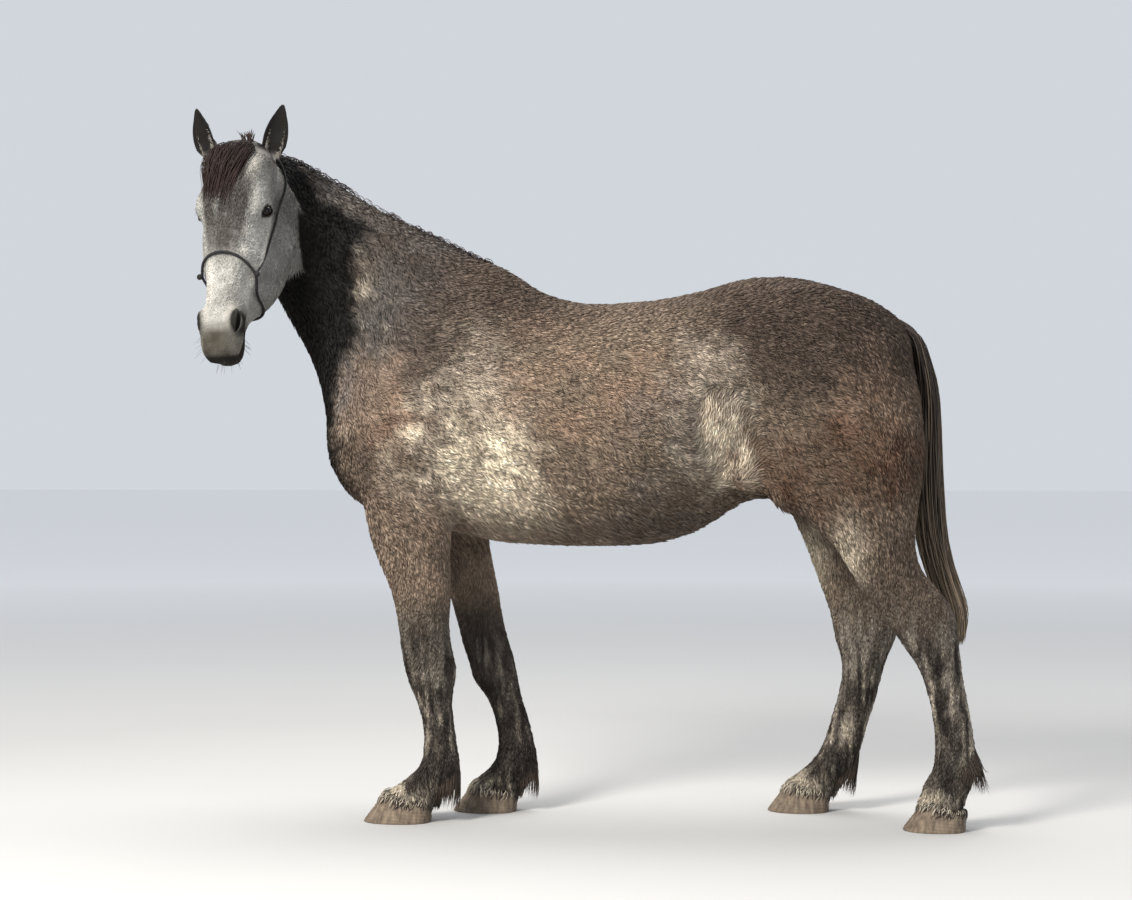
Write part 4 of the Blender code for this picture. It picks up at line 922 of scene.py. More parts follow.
def tube(name, path, radii, sides):
    """A closed round tube along a path."""
    return closed_loft(name, [round_ring(point, *axes, radius, sides)
                              for point, axes, radius in zip(path, carried(path), radii)])


# The coat's colours, as linear red, green and blue
ROAN = (0.215, 0.165, 0.122)
BACK_BROWN = (0.076, 0.055, 0.043)
CREAM = (0.680, 0.590, 0.455)
BEIGE = (0.330, 0.280, 0.225)
RUST = (0.082, 0.044, 0.028)
ROSY = (0.290, 0.195, 0.140)
CHARCOAL = (0.005, 0.005, 0.005)
SLATE = (0.125, 0.117, 0.110)
NECK_DARK = (0.035, 0.028, 0.024)
FACE_GREY = (0.330, 0.325, 0.305)
CHEEK_GREY = (0.185, 0.178, 0.168)
TEMPLE_GREY = (0.110, 0.102, 0.095)
WHITE_HAIR = (0.500, 0.480, 0.440)
BROW_GREY = (0.078, 0.070, 0.065)
LID_DARK = (0.006, 0.005, 0.004)
# Black of the nostrils: partly dark skin, partly painted shade in the openings
NOSTRIL_DARK_AND_SHADE = (0.005, 0.004, 0.003)
NOSTRIL_PALE = (0.300, 0.275, 0.235)
MUZZLE_OLIVE = (0.185, 0.165, 0.130)
# Painted shadow low on the muzzle between the nostrils
MUZZLE_PAINTED_SHADOW = (0.062, 0.053, 0.040)
LIP_DARK = (0.016, 0.013, 0.010)
FOREARM_ROAN = (0.230, 0.170, 0.128)
THIGH_ROAN = (0.140, 0.104, 0.080)
LEG_DARK = (0.036, 0.029, 0.025)
EAR_DARK = (0.024, 0.019, 0.016)
FROST = (0.230, 0.200, 0.165)
MANE_DARK = (0.022, 0.015, 0.014)
FORELOCK_ROOT, FORELOCK_TIP = (0.012, 0.008, 0.007), (0.034, 0.021, 0.018)
TAIL_DARK, TAIL_PALE = (0.034, 0.026, 0.022), (0.250, 0.190, 0.130)
FEATHER_TIP = (0.055, 0.040, 0.030)
FRINGE_PALE = (0.330, 0.290, 0.230)
EAR_HAIR_ROOT, EAR_HAIR_TIP = (0.050, 0.045, 0.040), (0.220, 0.200, 0.175)
WHISKER_ROOT, WHISKER_TIP = (0.030, 0.025, 0.022), (0.050, 0.042, 0.036)
ROPE_BLACK = (0.014, 0.013, 0.014)
HORN_DARK, HORN_PALE = (0.070, 0.052, 0.038), (0.205, 0.158, 0.112)
PUPIL, IRIS, EYE_RIM = (0.002, 0.002, 0.003), (0.014, 0.007, 0.004), (0.005, 0.003, 0.002)
FLOOR_NEAR, FLOOR_FAR = (0.440, 0.435, 0.425), (0.930, 0.930, 0.930)
DARKEST, LIGHTEST = 0.0015, 0.9

# Sizes of the noise that breaks the markings up: large clouds, fine ticking, and how far an edge wanders
MOTTLE_SIZE, FINE_SIZE, WANDER_SIZE, WANDER = 0.10, 0.035, 0.045, 0.17

# Markings of the body, laid over each other in this order: (colour, centre x and z, half sizes, tilt in
# degrees, softness, strength, and how far the clouds and the ticking change the strength)
FIRST_MARKS = (
    (BACK_BROWN, (0.56, 1.45), (0.36, 0.20), 0, 0.45, 0.80, 0, 0),
    (BACK_BROWN, (-0.67, 1.48), (0.15, 0.17), 10, 0.45, 0.65, 1, 0),
    (BEIGE, (-0.57, 1.24), (0.23, 0.27), 10, 0.45, 0.75, 1, 1),
    (CREAM, (-0.435, 1.04), (0.115, 0.19), 15, 0.65, 1.00, 1, 1),
    (CREAM, (-0.38, 0.95), (0.14, 0.07), 0, 0.45, 0.55, 0, 1),
    (SLATE, (0.05, 0.90), (0.30, 0.05), 0, 0.45, 0.55, 0, 2),
    (BEIGE, (0.21, 1.25), (0.12, 0.21), 10, 0.45, 0.80, 1, 1),
    (CREAM, (0.24, 1.13), (0.075, 0.12), 10, 0.65, 0.55, 1, 1),
    (ROSY, (-0.12, 1.32), (0.34, 0.18), -8, 0.45, 0.22, 1.2, 0),
    (CREAM, (-0.61, 1.18), (0.10, 0.16), 12, 0.45, 0.10, 1, 1.5),
)
LATER_MARKS = (
    (CREAM, (-0.84, 1.60), (0.04, 0.16), 25, 0.45, 0.25, 0, 1.5),
    (SLATE, (0.06, 1.16), (0.11, 0.18), -20, 0.45, 0.25, 1, 0),
    (BACK_BROWN, (-0.66, 1.49), (0.13, 0.14), 10, 0.45, 0.75, 1, 0),
    (ROSY, (-0.80, 1.28), (0.13, 0.15), 0, 0.45, 0.75, 1, 0),
    (RUST, (-0.76, 1.16), (0.09, 0.08), 0, 0.45, 0.45, 1, 0),
    (RUST, (0.62, 1.08), (0.31, 0.15), 12, 0.45, 0.80, 1, 1),
    # Dark low on the breast: partly dark coat and partly painted shadow of the head and neck
    (BACK_BROWN, (-0.86, 1.05), (0.09, 0.12), 0, 0.45, 0.70, 0, 0),
    (BACK_BROWN, (0.84, 1.26), (0.07, 0.30), 0, 0.45, 0.45, 0, 0),
    (ROSY, (0.70, 1.28), (0.12, 0.16), 0, 0.45, 0.25, 1, 0),
)
SHEATH_MARK = ((0.385, 1.005), (0.035, 0.028))

# The edge of the dark front of the neck, partly dark coat and partly painted shadow of the head: heights,
# and how far back it reaches
DARK_AND_SHADED_FRONT = ((0.90, 1.05, 1.20, 1.35, 1.50, 1.62, 1.72, 1.77, 1.82, 1.90, 2.00, 2.10),
              (-0.90, -0.91, -0.92, -0.91, -0.850, -0.880, -0.895, -0.850, -0.830, -0.955, -1.03, -1.06))

# Half width of the dark brow at shares of the head's length down the face
BROW_WIDTH = ((0.10, 0.22, 0.30, 0.45, 0.62), (0.160, 0.125, 0.110, 0.085, 0.055))

# Fore and hind legs lie before and behind this place, and the far ones beyond this side
MIDDLE_X, FAR_SIDE = -0.1, 0.08


def towards(colours, colour, share):
    return colours + (np.array(colour) - colours) * np.clip(share, 0, 1)[:, None]


def marked(made, points, rows, mottle, fine):
    """The colours with oval markings laid over them."""
    for colour, centre, sizes, tilt, soft, strength, clouded, ticked in rows:
        share = patch(points, centre, sizes, tilt, soft)
        made = towards(made, colour, share * (strength + clouded * mottle + ticked * fine))
    return made


def markings(points):
    """The colour of the coat at each point, the same for skin and hair."""
    mottle = cloudy(points, MOTTLE_SIZE, 3) - 0.5
    fine = cloudy(points, FINE_SIZE, 9) - 0.5
    made = body_colours(points, mottle, fine)
    made = neck_colours(made, points, mottle, fine)
    made = leg_colours(made, points, mottle, fine)
    made = head_colours(made, points, mottle, fine)
    made = eye_colours(made, points)
    ears, ways = ear_share(points)
    made = towards(made, EAR_DARK, ears * (0.90 + 0.5 * fine))
    return made * (1 + 0.55 * fine + 0.25 * mottle)[:, None]


def body_colours(points, mottle, fine):
    """Roan with a brown back, pale shoulder, elbow and flank, a rusty breast and thigh, and a dark patch low
    on the breast that is partly dark coat and partly painted shadow of the head and neck.
    """
    x, y, z = points.T
    wander = [cloudy(points, WANDER_SIZE, seed) - 0.5 for seed in (41, 42)]
    ragged = points + WANDER * np.stack([wander[0], 0 * x, wander[1]], axis=1)
    made = np.tile(np.array(ROAN), (len(points), 1))
    above = z - 1.55 + 0.10 * mottle - 0.06 * np.cos((x - 0.1) * 4) + 0.10 * step_up(0.0, 0.4, x)
    made = towards(made, BACK_BROWN, step_up(-0.20, 0.06, above) * 0.90)
    made = marked(made, ragged, FIRST_MARKS, mottle, fine)
    belly = step_down(0.85, 0.90, z) * (np.abs(x - 0.05) < 0.36)
    made = towards(made, BEIGE, belly * (0.6 + fine))
    made = marked(made, ragged, LATER_MARKS, mottle, fine)
    return towards(made, CHARCOAL, patch(points, *SHEATH_MARK) * (np.abs(y) < 0.10) * 0.9)


def face_share(points):
    """1 where the hair has the face's colours: the head without the side of the neck behind the jaw."""
    down, out, side = head_place(points).T
    behind = step_up(0.158, 0.176, np.abs(side)) * step_up(0.14, 0.22, -out) * step_up(0.12, 0.22, down)
    return head_share(points) * (1 - behind)


def round_eye(points):
    """How far each point lies from the middle of the nearer eye, where 1 is the edge of the lids."""
    reach = np.full(len(points), 9.0)
    for side in (-1, 1):
        turn = np.array(eye_frame(side).inverted())
        local = points @ turn[:3, :3].T + turn[:3, 3]
        behind = local[:, 2] < -0.005
        own = np.hypot(local[:, 0] / LID_EDGE[0], local[:, 1] / LID_EDGE[1]) + 9.0 * behind
        reach = np.minimum(reach, own)
    return reach


def eye_colours(made, points):
    """Black lids in pale fur."""
    head, reach = head_share(points), round_eye(points)
    made = towards(made, FACE_GREY, head * band(reach, 1.1, 1.4, 1.9, 2.8) * 0.75)
    return towards(made, LID_DARK, head * step_down(1.05, 1.40, reach) * 0.96)


def neck_colours(made, points, mottle, fine):
    """A grey neck with a dark crest and a black front edge down to the breast, partly dark coat and partly
    painted shadow of the head.
    """
    x, y, z = points.T
    neck = neck_share(points)
    made = towards(made, SLATE, neck * (0.55 + 0.9 * mottle) * (0.5 + 0.5 * step_up(-1.0, -0.7, -x)))
    crest = step_up(-0.16, 0.0, z - (1.75 + 0.62 * np.clip(-0.55 - x, 0, 0.5)))
    made = towards(made, NECK_DARK, crest * neck * 0.35)
    edge = x - np.interp(z, DARK_AND_SHADED_FRONT[0], DARK_AND_SHADED_FRONT[1]) + 0.06 * mottle + 0.05 * fine
    # The black front is partly the coat's own dark and partly painted shadow cast by the head
    front = step_down(-0.035, 0.030, edge) * step_up(0.92, 1.02, z) * (1 - face_share(points))
    return towards(made, CHARCOAL, front * 0.95)


def toe_share(points):
    """0 at the heel and 1 at the toe of the nearest hoof."""
    shares = []
    for toe, heel, y in HOOVES.values():
        away = np.hypot(points[:, 0] - (toe + heel) / 2, points[:, 1] - y)
        shares.append(np.where(away < 0.16, (heel - points[:, 0]) / (heel - toe), 0.0))
    return np.max(shares, axis=0)


def leg_colours(made, points, mottle, fine):
    """Roan down to the knee and hock, dark with frosted streaks below, and pale over the toe; the far
    foreleg gets less of the forearm's roan, the frost and the pale toe, as painted shade.
    """
    x, y, z = points.T
    fore, hind = x < MIDDLE_X, x >= MIDDLE_X
    # The far foreleg is kept darker as painted shade: less forearm roan, frost and pale toe
    shaded_far_fore = fore & (y > FAR_SIDE)
    upper = step_down(0.86, 1.05, z) * step_up(0.55, 0.75, z)
    made = towards(made, FOREARM_ROAN, upper * fore * np.where(y > FAR_SIDE, 0.4, 0.85) * (0.8 + fine))
    made = towards(made, THIGH_ROAN, upper * hind * 0.85)
    gaskin = hill((z - 0.80, 0.12), (x - np.where(y > 0, 0.53, 0.62), 0.05)) * hind
    made = towards(made, CREAM, gaskin * 0.75)
    streak = cloudy(points * np.array([1.0, 1.0, 0.13]), 0.014, 21)
    lower = step_down(0.52, 0.74, z + 0.10 * mottle)
    made = towards(made, LEG_DARK, lower)
    ankle = 1 - 0.75 * hill((z - 0.17, 0.055))
    # Less frost on the far foreleg: painted shade
    frosted = lower * np.where(shaded_far_fore, 0.35, 1.0) * (1 + 0.6 * hind) * ankle
    made = towards(made, FROST, frosted * step_up(0.22, 0.78, streak) * (0.80 + 1.2 * mottle))
    middle = band(z, 0.14, 0.20, 0.38, 0.50)
    made = towards(made, CREAM, frosted * middle * step_up(0.56, 0.74, streak) * 0.30)
    foot = step_down(0.09, 0.16, z) * step_up(0.44, 0.70, streak) * 0.35
    coronet = hill((z - 0.105, 0.022)) * (toe_share(points) > 0.35) * 0.55
    return towards(made, CREAM, np.maximum(foot, coronet) * np.where(shaded_far_fore, 0.4, 1.0))


def brow_share(down, out, side):
    """1 on the dark brow, which narrows down the face."""
    across = np.abs(side + 0.004) / np.interp(down, *BROW_WIDTH)
    return step_down(0.46, 0.60, down) * step_down(0.80, 1.20, across) * (out > -0.10)


def head_colours(made, points, mottle, fine):
    """A pale face with a dark brow, a grey cheek and temple, and white lines."""
    head = face_share(points)
    down, out, side = head_place(points).T
    streak = cloudy(np.stack([down * 0.28, out, side], axis=1), 0.030, 33) - 0.5
    made = towards(made, FACE_GREY, head)
    brow = brow_share(down, out, side)
    made = towards(made, BROW_GREY, head * brow * (0.95 + 1.2 * fine + 0.8 * streak))
    cheek = step_up(0.13, 0.22, -out) * step_down(0.58, 0.76, down)
    made = towards(made, CHEEK_GREY, head * cheek * (0.75 + 1.6 * mottle + streak))
    temple = step_up(0.05, 0.10, -out) * step_down(0.24, 0.34, down)
    made = towards(made, TEMPLE_GREY, head * temple * (0.80 + mottle))
    star = hill((down - 0.12, 0.065), (side - 0.100, 0.032))
    made = towards(made, WHITE_HAIR, head * star * 0.75)
    beside = band(down, 0.34, 0.46, 0.80, 0.90) * (np.abs(side) > 0.03) * (out > -0.13) * (1 - 0.75 * brow)
    made = towards(made, WHITE_HAIR, head * beside * (0.25 + 1.3 * streak + 0.6 * fine))
    lower = band(down, 0.50, 0.64, 0.78, 0.86) * (out > -0.12)
    made = towards(made, WHITE_HAIR, head * lower * (0.55 + mottle + streak))
    return muzzle_colours(made, head, down, out, np.abs(side), fine)


def muzzle_colours(made, head, down, out, across, fine):
    """Olive with a painted shadow low in the middle between the nostrils, black nostrils with a pale rim,
    their black partly dark skin and partly painted shade in the openings, and a black lower lip.
    """
    made = towards(made, MUZZLE_OLIVE, head * step_up(0.80, 0.92, down) * 0.80)
    # Painted shadow low on the muzzle between the nostrils
    middle = step_up(0.850, 0.890, down) * step_down(0.050, 0.075, across) * (out > -0.13)
    made = towards(made, MUZZLE_PAINTED_SHADOW, head * middle * (0.80 + fine))
    beyond = across - NOSTRIL_RIM[2]
    wing = hill((down - 0.800, 0.070), (beyond, 0.040))
    made = towards(made, NOSTRIL_PALE, head * wing * 0.45)
    # The nostril pits painted black: partly dark skin and partly painted shade in the openings
    pit = hill((down - 0.820, 0.056), (beyond + 0.10 * (down - 0.820), 0.018))
    made = towards(made, NOSTRIL_DARK_AND_SHADE, head * np.clip(1.6 * pit, 0, 1) * (out < 0.0) * 0.95)
    lip = step_up(0.938, 0.960, down - 0.45 * (out + 0.12))
    corner = step_up(0.76, 0.84, down) * step_up(0.142, 0.154, -out)
    return towards(made, LIP_DARK, head * np.clip(lip + corner, 0, 1) * 0.95)


# Ways in which the hair lies on parts of the body, before it is laid along the skin
REAR_WAY, WHORL_WAY, BREAST_WAY = (0.25, 0.0, -1.0), (0.10, 0.0, 0.75), (0.1, 0.0, -1.0)
NECK_WAY, LEG_WAY = (0.55, 0.0, -0.80), (0.12, 0.0, -1.0)
WHORL = ((0.26, 1.16), (0.10, 0.16), 20)


def hair_flow(points, normals):
    """Unit vectors along the skin in the direction of the hair."""
    x, y, z = points.T
    side = head_place(points)[:, 2]
    head = head_share(points)[:, None]
    flow = np.stack([0.90 + 0 * x, 0 * x, -0.60 + 0.25 * step_up(1.0, 1.5, z)], axis=1)
    shares = (step_up(0.55, 0.80, x), patch(points, *WHORL), step_down(-0.92, -0.80, x), neck_share(points),
              step_down(0.70, 1.00, z))
    for share, way in zip(shares, (REAR_WAY, WHORL_WAY, BREAST_WAY, NECK_WAY, LEG_WAY)):
        flow = blended(flow, np.array(way), share[:, None])
    sideways = np.clip(side * 3, -1, 1)[:, None]
    facial = np.array(DOWN_FACE) + np.array(HEAD_LEFT) * sideways * 0.35 - np.array(OUT_OF_FACE) * 0.15
    flow = blended(flow, facial, head)
    ears, ways = ear_share(points)
    ears = ears[:, None]
    flow = unit(flow) * (1 - ears) + ways * ears
    swirl = np.stack([cloudy(points, 0.030, 31 + k) for k in range(3)], axis=1) - 0.5
    stray = np.stack([noise(points, 0.012, 41 + k) for k in range(3)], axis=1) - 0.5
    calm = np.maximum(0.5 * head, 0.75 * ears)
    flow = unit(flow) + swirl * (0.9 - calm) + stray * (0.8 - calm)
    return unit(flow - normals * np.sum(flow * normals, axis=1, keepdims=True))


# Tufts: length, width and lift on the body and on the ears, and what the lower legs take off
BODY_TUFT, LEG_CHANGE = (0.028, 0.0030, 0.24), (0.011, 0.0007, 0.06)
FACE_LENGTH, FACE_WIDTH, FACE_LIFT = 0.0085, 0.0017, 0.14
EAR_TUFT_LENGTH, EAR_TUFT_LIFT = 0.0060, 0.08
# Longer hair on the feet, under the belly, on the jaw and on the brow, and shorter hair on the muzzle
FOOT_LONGER, BELLY_LONGER, BEARD_LONGER, BROW_LONGER, MUZZLE_SHORTER = 0.008, 0.012, 0.013, 0.0070, 0.0045
# Tufts on a square metre, and the height below which none grow
BODY_DENSITY, LEG_DENSITY, HEAD_DENSITY, LOWEST_TUFT = 36500, 70000, 150000, 0.060
# Shares of pale and dark tufts, and how far they stand out
PALE_ABOVE, DARK_BELOW, PALER, DARKER = 0.80, 0.25, 0.45, 0.30
# Tone at each tuft's four points: both root points darkened as painted shade between the hairs, the tip
# lightened as painted light
TUFT_PAINTED_SHADE_AND_LIGHT = (0.72, 0.72, 1.0, 1.12)
UNWRAP_SHARE, TUFT_UNWRAP = 0.996, 0.003


def lower_leg(points):
    """1 on the lower legs, where the coat is short and dense."""
    return step_down(0.60, 0.95, points[:, 2])


def face_length(points):
    """Length of the tufts on the head."""
    down, out, side = head_place(points).T
    beard = step_up(0.20, 0.34, -out) * step_down(0.60, 0.80, down)
    brow = band(down, 0.02, 0.08, 0.30, 0.50) * step_down(0.08, 0.13, np.abs(side)) * (out > -0.10)
    muzzle = step_up(0.72, 0.86, down)
    return FACE_LENGTH + BEARD_LONGER * beard - MUZZLE_SHORTER * muzzle + BROW_LONGER * brow


def tuft_sizes(points):
    """Length, width and lift of the tufts at each point."""
    x, y, z = points.T
    head, low = head_share(points), lower_leg(points)
    length, width, lift = (size - change * low for size, change in zip(BODY_TUFT, LEG_CHANGE))
    under = np.exp(-((x + 0.05) / 0.36) ** 4) * step_down(0.90, 1.02, z) * (z > 0.80)
    length = length + FOOT_LONGER * step_down(0.10, 0.30, z) + BELLY_LONGER * under
    length = blended(length, face_length(points), head)
    width = blended(width, FACE_WIDTH, head)
    lift = blended(lift, FACE_LIFT, head)
    ears, ways = ear_share(points)
    return blended(length, EAR_TUFT_LENGTH, ears), width, blended(lift, EAR_TUFT_LIFT, ears)


def tuft_density(points):
    """Tufts on a square metre."""
    body = BODY_DENSITY + (LEG_DENSITY - BODY_DENSITY) * lower_leg(points)
    made = blended(body, HEAD_DENSITY, head_share(points))
    return np.where(points[:, 2] < LOWEST_TUFT, 0.0, made)


def spread_roots(mesh, seed):
    """Random roots over the skin, as many as the density asks, with the skin's normals there."""
    chance = np.random.default_rng(seed)
    points, normals = corners_of(mesh), normals_of(mesh)
    mesh.calc_loop_triangles()
    corners = np.empty(len(mesh.loop_triangles) * 3, dtype=np.int64)
    mesh.loop_triangles.foreach_get("vertices", corners)
    corners = corners.reshape(-1, 3)
    a, b, c = points[corners[:, 0]], points[corners[:, 1]], points[corners[:, 2]]
    area = np.linalg.norm(np.cross(b - a, c - a), axis=1) / 2
    weight = area * tuft_density((a + b + c) / 3)
    total = int(weight.sum())
    chosen = chance.choice(len(weight), size=total, p=weight / weight.sum())
    u, v = chance.random(total), chance.random(total)
    turned = u + v > 1
    u, v = np.where(turned, 1 - u, u), np.where(turned, 1 - v, v)
    w = 1 - u - v
    roots = a[chosen] * w[:, None] + b[chosen] * u[:, None] + c[chosen] * v[:, None]
    na, nb, nc = (normals[corners[chosen, k]] for k in range(3))
    outs = unit(na * w[:, None] + nb * u[:, None] + nc * v[:, None])
    return roots, outs, chance


def clear_of_features(roots):
    """True where hair grows: not in the eyes, the nostrils or the mouth."""
    keep = np.ones(len(roots), dtype=bool)
    for side in (-1, 1):
        eye_middle = np.array(on_head(*EYE_PLACE[:2], EYE_PLACE[2] * side))
        keep &= np.linalg.norm(roots - eye_middle, axis=1) > EYE_RADIUS + 0.0050
        pit = np.array(on_head(*NOSTRIL_BARE[:2], NOSTRIL_BARE[2] * side))
        keep &= np.linalg.norm(roots - pit, axis=1) > 0.024
    down, out, side = head_place(roots).T
    return keep & ~((down > 0.80) & (np.abs(out - MOUTH_OUT) < 0.010))


def outside_ears(roots, outs):
    """False in the cups of the ears, which have their own long hair."""
    keep = np.ones(len(roots), dtype=bool)
    for side in (-1, 1):
        height, reach = ear_place(roots, side)
        cupped = outs @ np.array(ear_frame(side)[3]) > 0.15
        keep &= ~((height > 0.008) & (reach < 0.060) & cupped)
    return keep


def turn_about(one, other):
    """The turn about an axis as a share of a full one."""
    return np.arctan2(one, other) / (2 * math.pi) + 0.5


def unwrapped(points, kind):
    """A place for each point on an unwrap of the body's own shape, between 0 and 1."""
    x, y, z = points.T
    if kind == "head":
        down, out, side = head_place(points).T
        return turn_about(side, out + 0.14), np.clip((down + 0.35) / 1.45, 0, 1)
    if kind == "neck":
        middle = 1.60 + 0.55 * np.clip(-0.75 - x, -0.3, 0.4)
        return turn_about(y, z - middle), np.clip((x + 1.30) / 1.0, 0, 1)
    if kind == "trunk":
        return turn_about(y, z - 1.25), np.clip((x + 1.05) / 2.1, 0, 1)
    if kind == "tail":
        return turn_about(y, x - 0.89), np.clip((z - 0.45) / 1.15, 0, 1)
    far = y > 0
    fore_x, hind_x = np.where(far, -0.45, -0.66), np.where(far, 0.64, 0.88)
    middle_x = np.where(x < MIDDLE_X, fore_x, hind_x)
    middle_y = np.where(x < MIDDLE_X, 0.13, 0.19) * np.sign(y)
    turn = turn_about(y - middle_y, x - middle_x)
    return np.where(far, 0.5, 0.0) + 0.48 * turn, np.clip(z / 1.15, 0, 1)


def set_colours(mesh, colours):
    """The colours are kept on the mesh's points."""
    layer = mesh.attributes.new("coat_colour", "FLOAT_COLOR", "POINT")
    full = np.ones((len(colours), 4), dtype=np.float32)
    full[:, :3] = np.clip(colours, DARKEST, LIGHTEST)
    layer.data.foreach_set("color", full.ravel())


def solid_from(name, points, faces, colours, uv):
    """A mesh of triangles from arrays, with the colours of its points and the map named OFBake."""
    mesh = bpy.data.meshes.new(name)
    mesh.vertices.add(len(points))
    mesh.vertices.foreach_set("co", points.astype(np.float32).ravel())
    mesh.loops.add(faces.size)
    mesh.loops.foreach_set("vertex_index", faces.astype(np.int32).ravel())
    mesh.polygons.add(len(faces))
    mesh.polygons.foreach_set("loop_start", np.arange(0, faces.size, 3, dtype=np.int32))
    mesh.update(calc_edges=True)
    set_colours(mesh, colours)
    unwrap = mesh.uv_layers.new(name="OFBake")
    unwrap.data.foreach_set("uv", uv[faces.ravel()].astype(np.float32).ravel())
    mesh.shade_smooth()
    return mesh


def tuft_points(roots, outs, chance):
    """Four points for each tuft: a broad root under the skin, a raised middle and a tip."""
    count = len(roots)
    flow = hair_flow(roots, outs)
    length, width, lift = tuft_sizes(roots)
    length = length * chance.uniform(0.65, 1.30, count)
    width = width * chance.uniform(0.75, 1.25, count)
    lift = lift * chance.uniform(0.45, 1.55, count)
    across = np.cross(flow, outs)
    base = roots - outs * (width * 0.4)[:, None]
    left = base - across * (width / 2)[:, None]
    right = base + across * (width / 2)[:, None]
    raised = outs * (length * lift * 0.62 + width * 0.25)[:, None]
    middle = roots + flow * (length * 0.45)[:, None] + raised
    tip = roots + flow * length[:, None] + outs * (length * lift * 0.85)[:, None]
    tip = tip + across * (length * chance.normal(0, 0.10, count))[:, None]
    return np.stack([left, right, middle, tip], axis=1).reshape(-1, 3)


def tuft_colours(roots, chance):
    """The markings' colour at each root, with some tufts paler and some darker, and every tuft darker at its
    root as painted shade and paler at its tip as painted light.
    """
    own = markings(roots)
    grizzle = chance.random(len(roots))
    pale = (grizzle > PALE_ABOVE)[:, None]
    dark = (grizzle < DARK_BELOW)[:, None]
    body = (1 - head_share(roots) * 0.6)[:, None]
    own = own * np.where(pale, 1 + PALER * body, np.where(dark, 1 - DARKER * body, 1.0))
    own = own * chance.uniform(0.88, 1.12, len(roots))[:, None]
    # Roots painted darker as shade and tips painted lighter as light
    return (own[:, None, :] * np.array(TUFT_PAINTED_SHADE_AND_LIGHT)[None, :, None]).reshape(-1, 3)


def tuft_mesh(name, roots, outs, chance, kind):
    """Bent, pointed tufts of four triangles each."""
    points = tuft_points(roots, outs, chance)
    start = np.arange(len(roots))[:, None] * 4
    pattern = np.array([[0, 1, 2], [0, 2, 3], [2, 1, 3], [1, 0, 3]])
    faces = (start[:, :, None] + pattern[None]).reshape(-1, 3)
    colours = tuft_colours(roots, chance)
    u, v = unwrapped(roots, kind)
    offset = np.array([[0.0, 0.0], [1.0, 0.0], [0.5, 0.45], [0.5, 1.0]]) * TUFT_UNWRAP
    uv = (np.stack([u, v], axis=1)[:, None, :] * UNWRAP_SHARE + offset[None]).reshape(-1, 2)
    return solid_from(name, points, faces, colours, uv)


def coat_kind(points):
    """Which coat piece each point belongs to."""
    names = np.full(len(points), "trunk", dtype="<U6")
    names[points[:, 2] < LEG_TOP] = "legs"
    names[neck_share(points) > 0.5] = "neck"
    names[head_share(points) > 0.5] = "head"
    return names


COAT_SLOTS = {"trunk": "coat_body", "neck": "coat_body", "head": "coat_head", "legs": "coat_legs"}


def made_coat(skin, paint):
    """The tufts of the whole coat, in pieces of a limited size that share its roots out evenly."""
    roots, outs, chance = spread_roots(skin.data, SEED)
    keep = clear_of_features(roots) & outside_ears(roots, outs)
    roots, outs = roots[keep], outs[keep]
    kinds = coat_kind(roots)
    for kind, slot in COAT_SLOTS.items():
        chosen = np.flatnonzero(kinds == kind)
        pieces = -(-len(chosen) // MOST_TUFTS)
        for k in range(pieces):
            some = chosen[k::pieces]
            name = "coat_%s_%d" % (kind, k)
            made = placed(name, tuft_mesh(name, roots[some], outs[some], chance, kind), paint)


def dressed(item, paint):
    """The object with its one material, in the row frame and riding on the model."""
    item.location = FRAME_SHIFT
    item.data.materials.clear()
    item.data.materials.append(paint)
    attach(item, "root")
    return item


def placed(name, mesh, paint):
    """A new object of the mesh, dressed the same way."""
    return dressed(object_of(name, mesh, bpy.context.scene.collection), paint)


# Long hair: widths of the strands, from and to, and their thickness
LOCK_WIDTHS, LOCK_THICKNESS = (0.0030, 0.0065), 0.0022
FORELOCK_WIDTHS, FORELOCK_THICKNESS = (0.0016, 0.0042), 0.0016
FEATHER_WIDTHS, FEATHER_THICKNESS = (0.0020, 0.0042), 0.0018
FRINGE_WIDTHS, FRINGE_THICKNESS = (0.0018, 0.0036), 0.0016
EAR_HAIR_WIDTHS, EAR_HAIR_THICKNESS = (0.0010, 0.0020), 0.0010
LASH_WIDTH, WHISKER_WIDTH, WHISKER_THICKNESS = 0.0008, 0.0006, 0.0007
# Lengths of the strands, and the shares of short wisps in the mane and upright locks in the forelock
MANE_LENGTH, MANE_LENGTHS, WISP_LENGTHS = 0.270, (0.75, 1.10), (0.022, 0.045)
FORELOCK_LENGTH, FORELOCK_LENGTHS, UPRIGHT_LENGTHS = 0.225, (0.50, 1.12), (0.025, 0.050)
FRINGE_LENGTHS, EAR_HAIR_LENGTHS = (0.016, 0.036), (0.012, 0.024)
LASH_LENGTHS, WHISKER_LENGTHS = (0.010, 0.017), (0.015, 0.035)
WISP_SHARE, UPRIGHT_SHARE = 0.22, 0.10
# Tone of the strands, from and to
STRAND_TONES = (0.65, 1.45)


class Locks:
    """The strands of one piece of long hair. roots and tips are for colours of their own."""

    def __init__(self):
        self.paths, self.facings, self.widths, self.roots, self.tips = [], [], [], [], []

    def add(self, path, facing, width):
        """One strand: its points, the way it faces at each, and its width."""
        self.paths.append(path)
        self.facings.append(facing)
        self.widths.append(width)


def strand_axes(paths, facings):
    """Unit vectors out of and across every strand at each of its points."""
    along = np.empty_like(paths)
    along[:, 1:-1] = paths[:, 2:] - paths[:, :-2]
    along[:, 0] = paths[:, 1] - paths[:, 0]
    along[:, -1] = paths[:, -1] - paths[:, -2]
    along = unit(along)
    out = unit(facings - along * np.sum(facings * along, axis=2, keepdims=True))
    return out, np.cross(along, out)


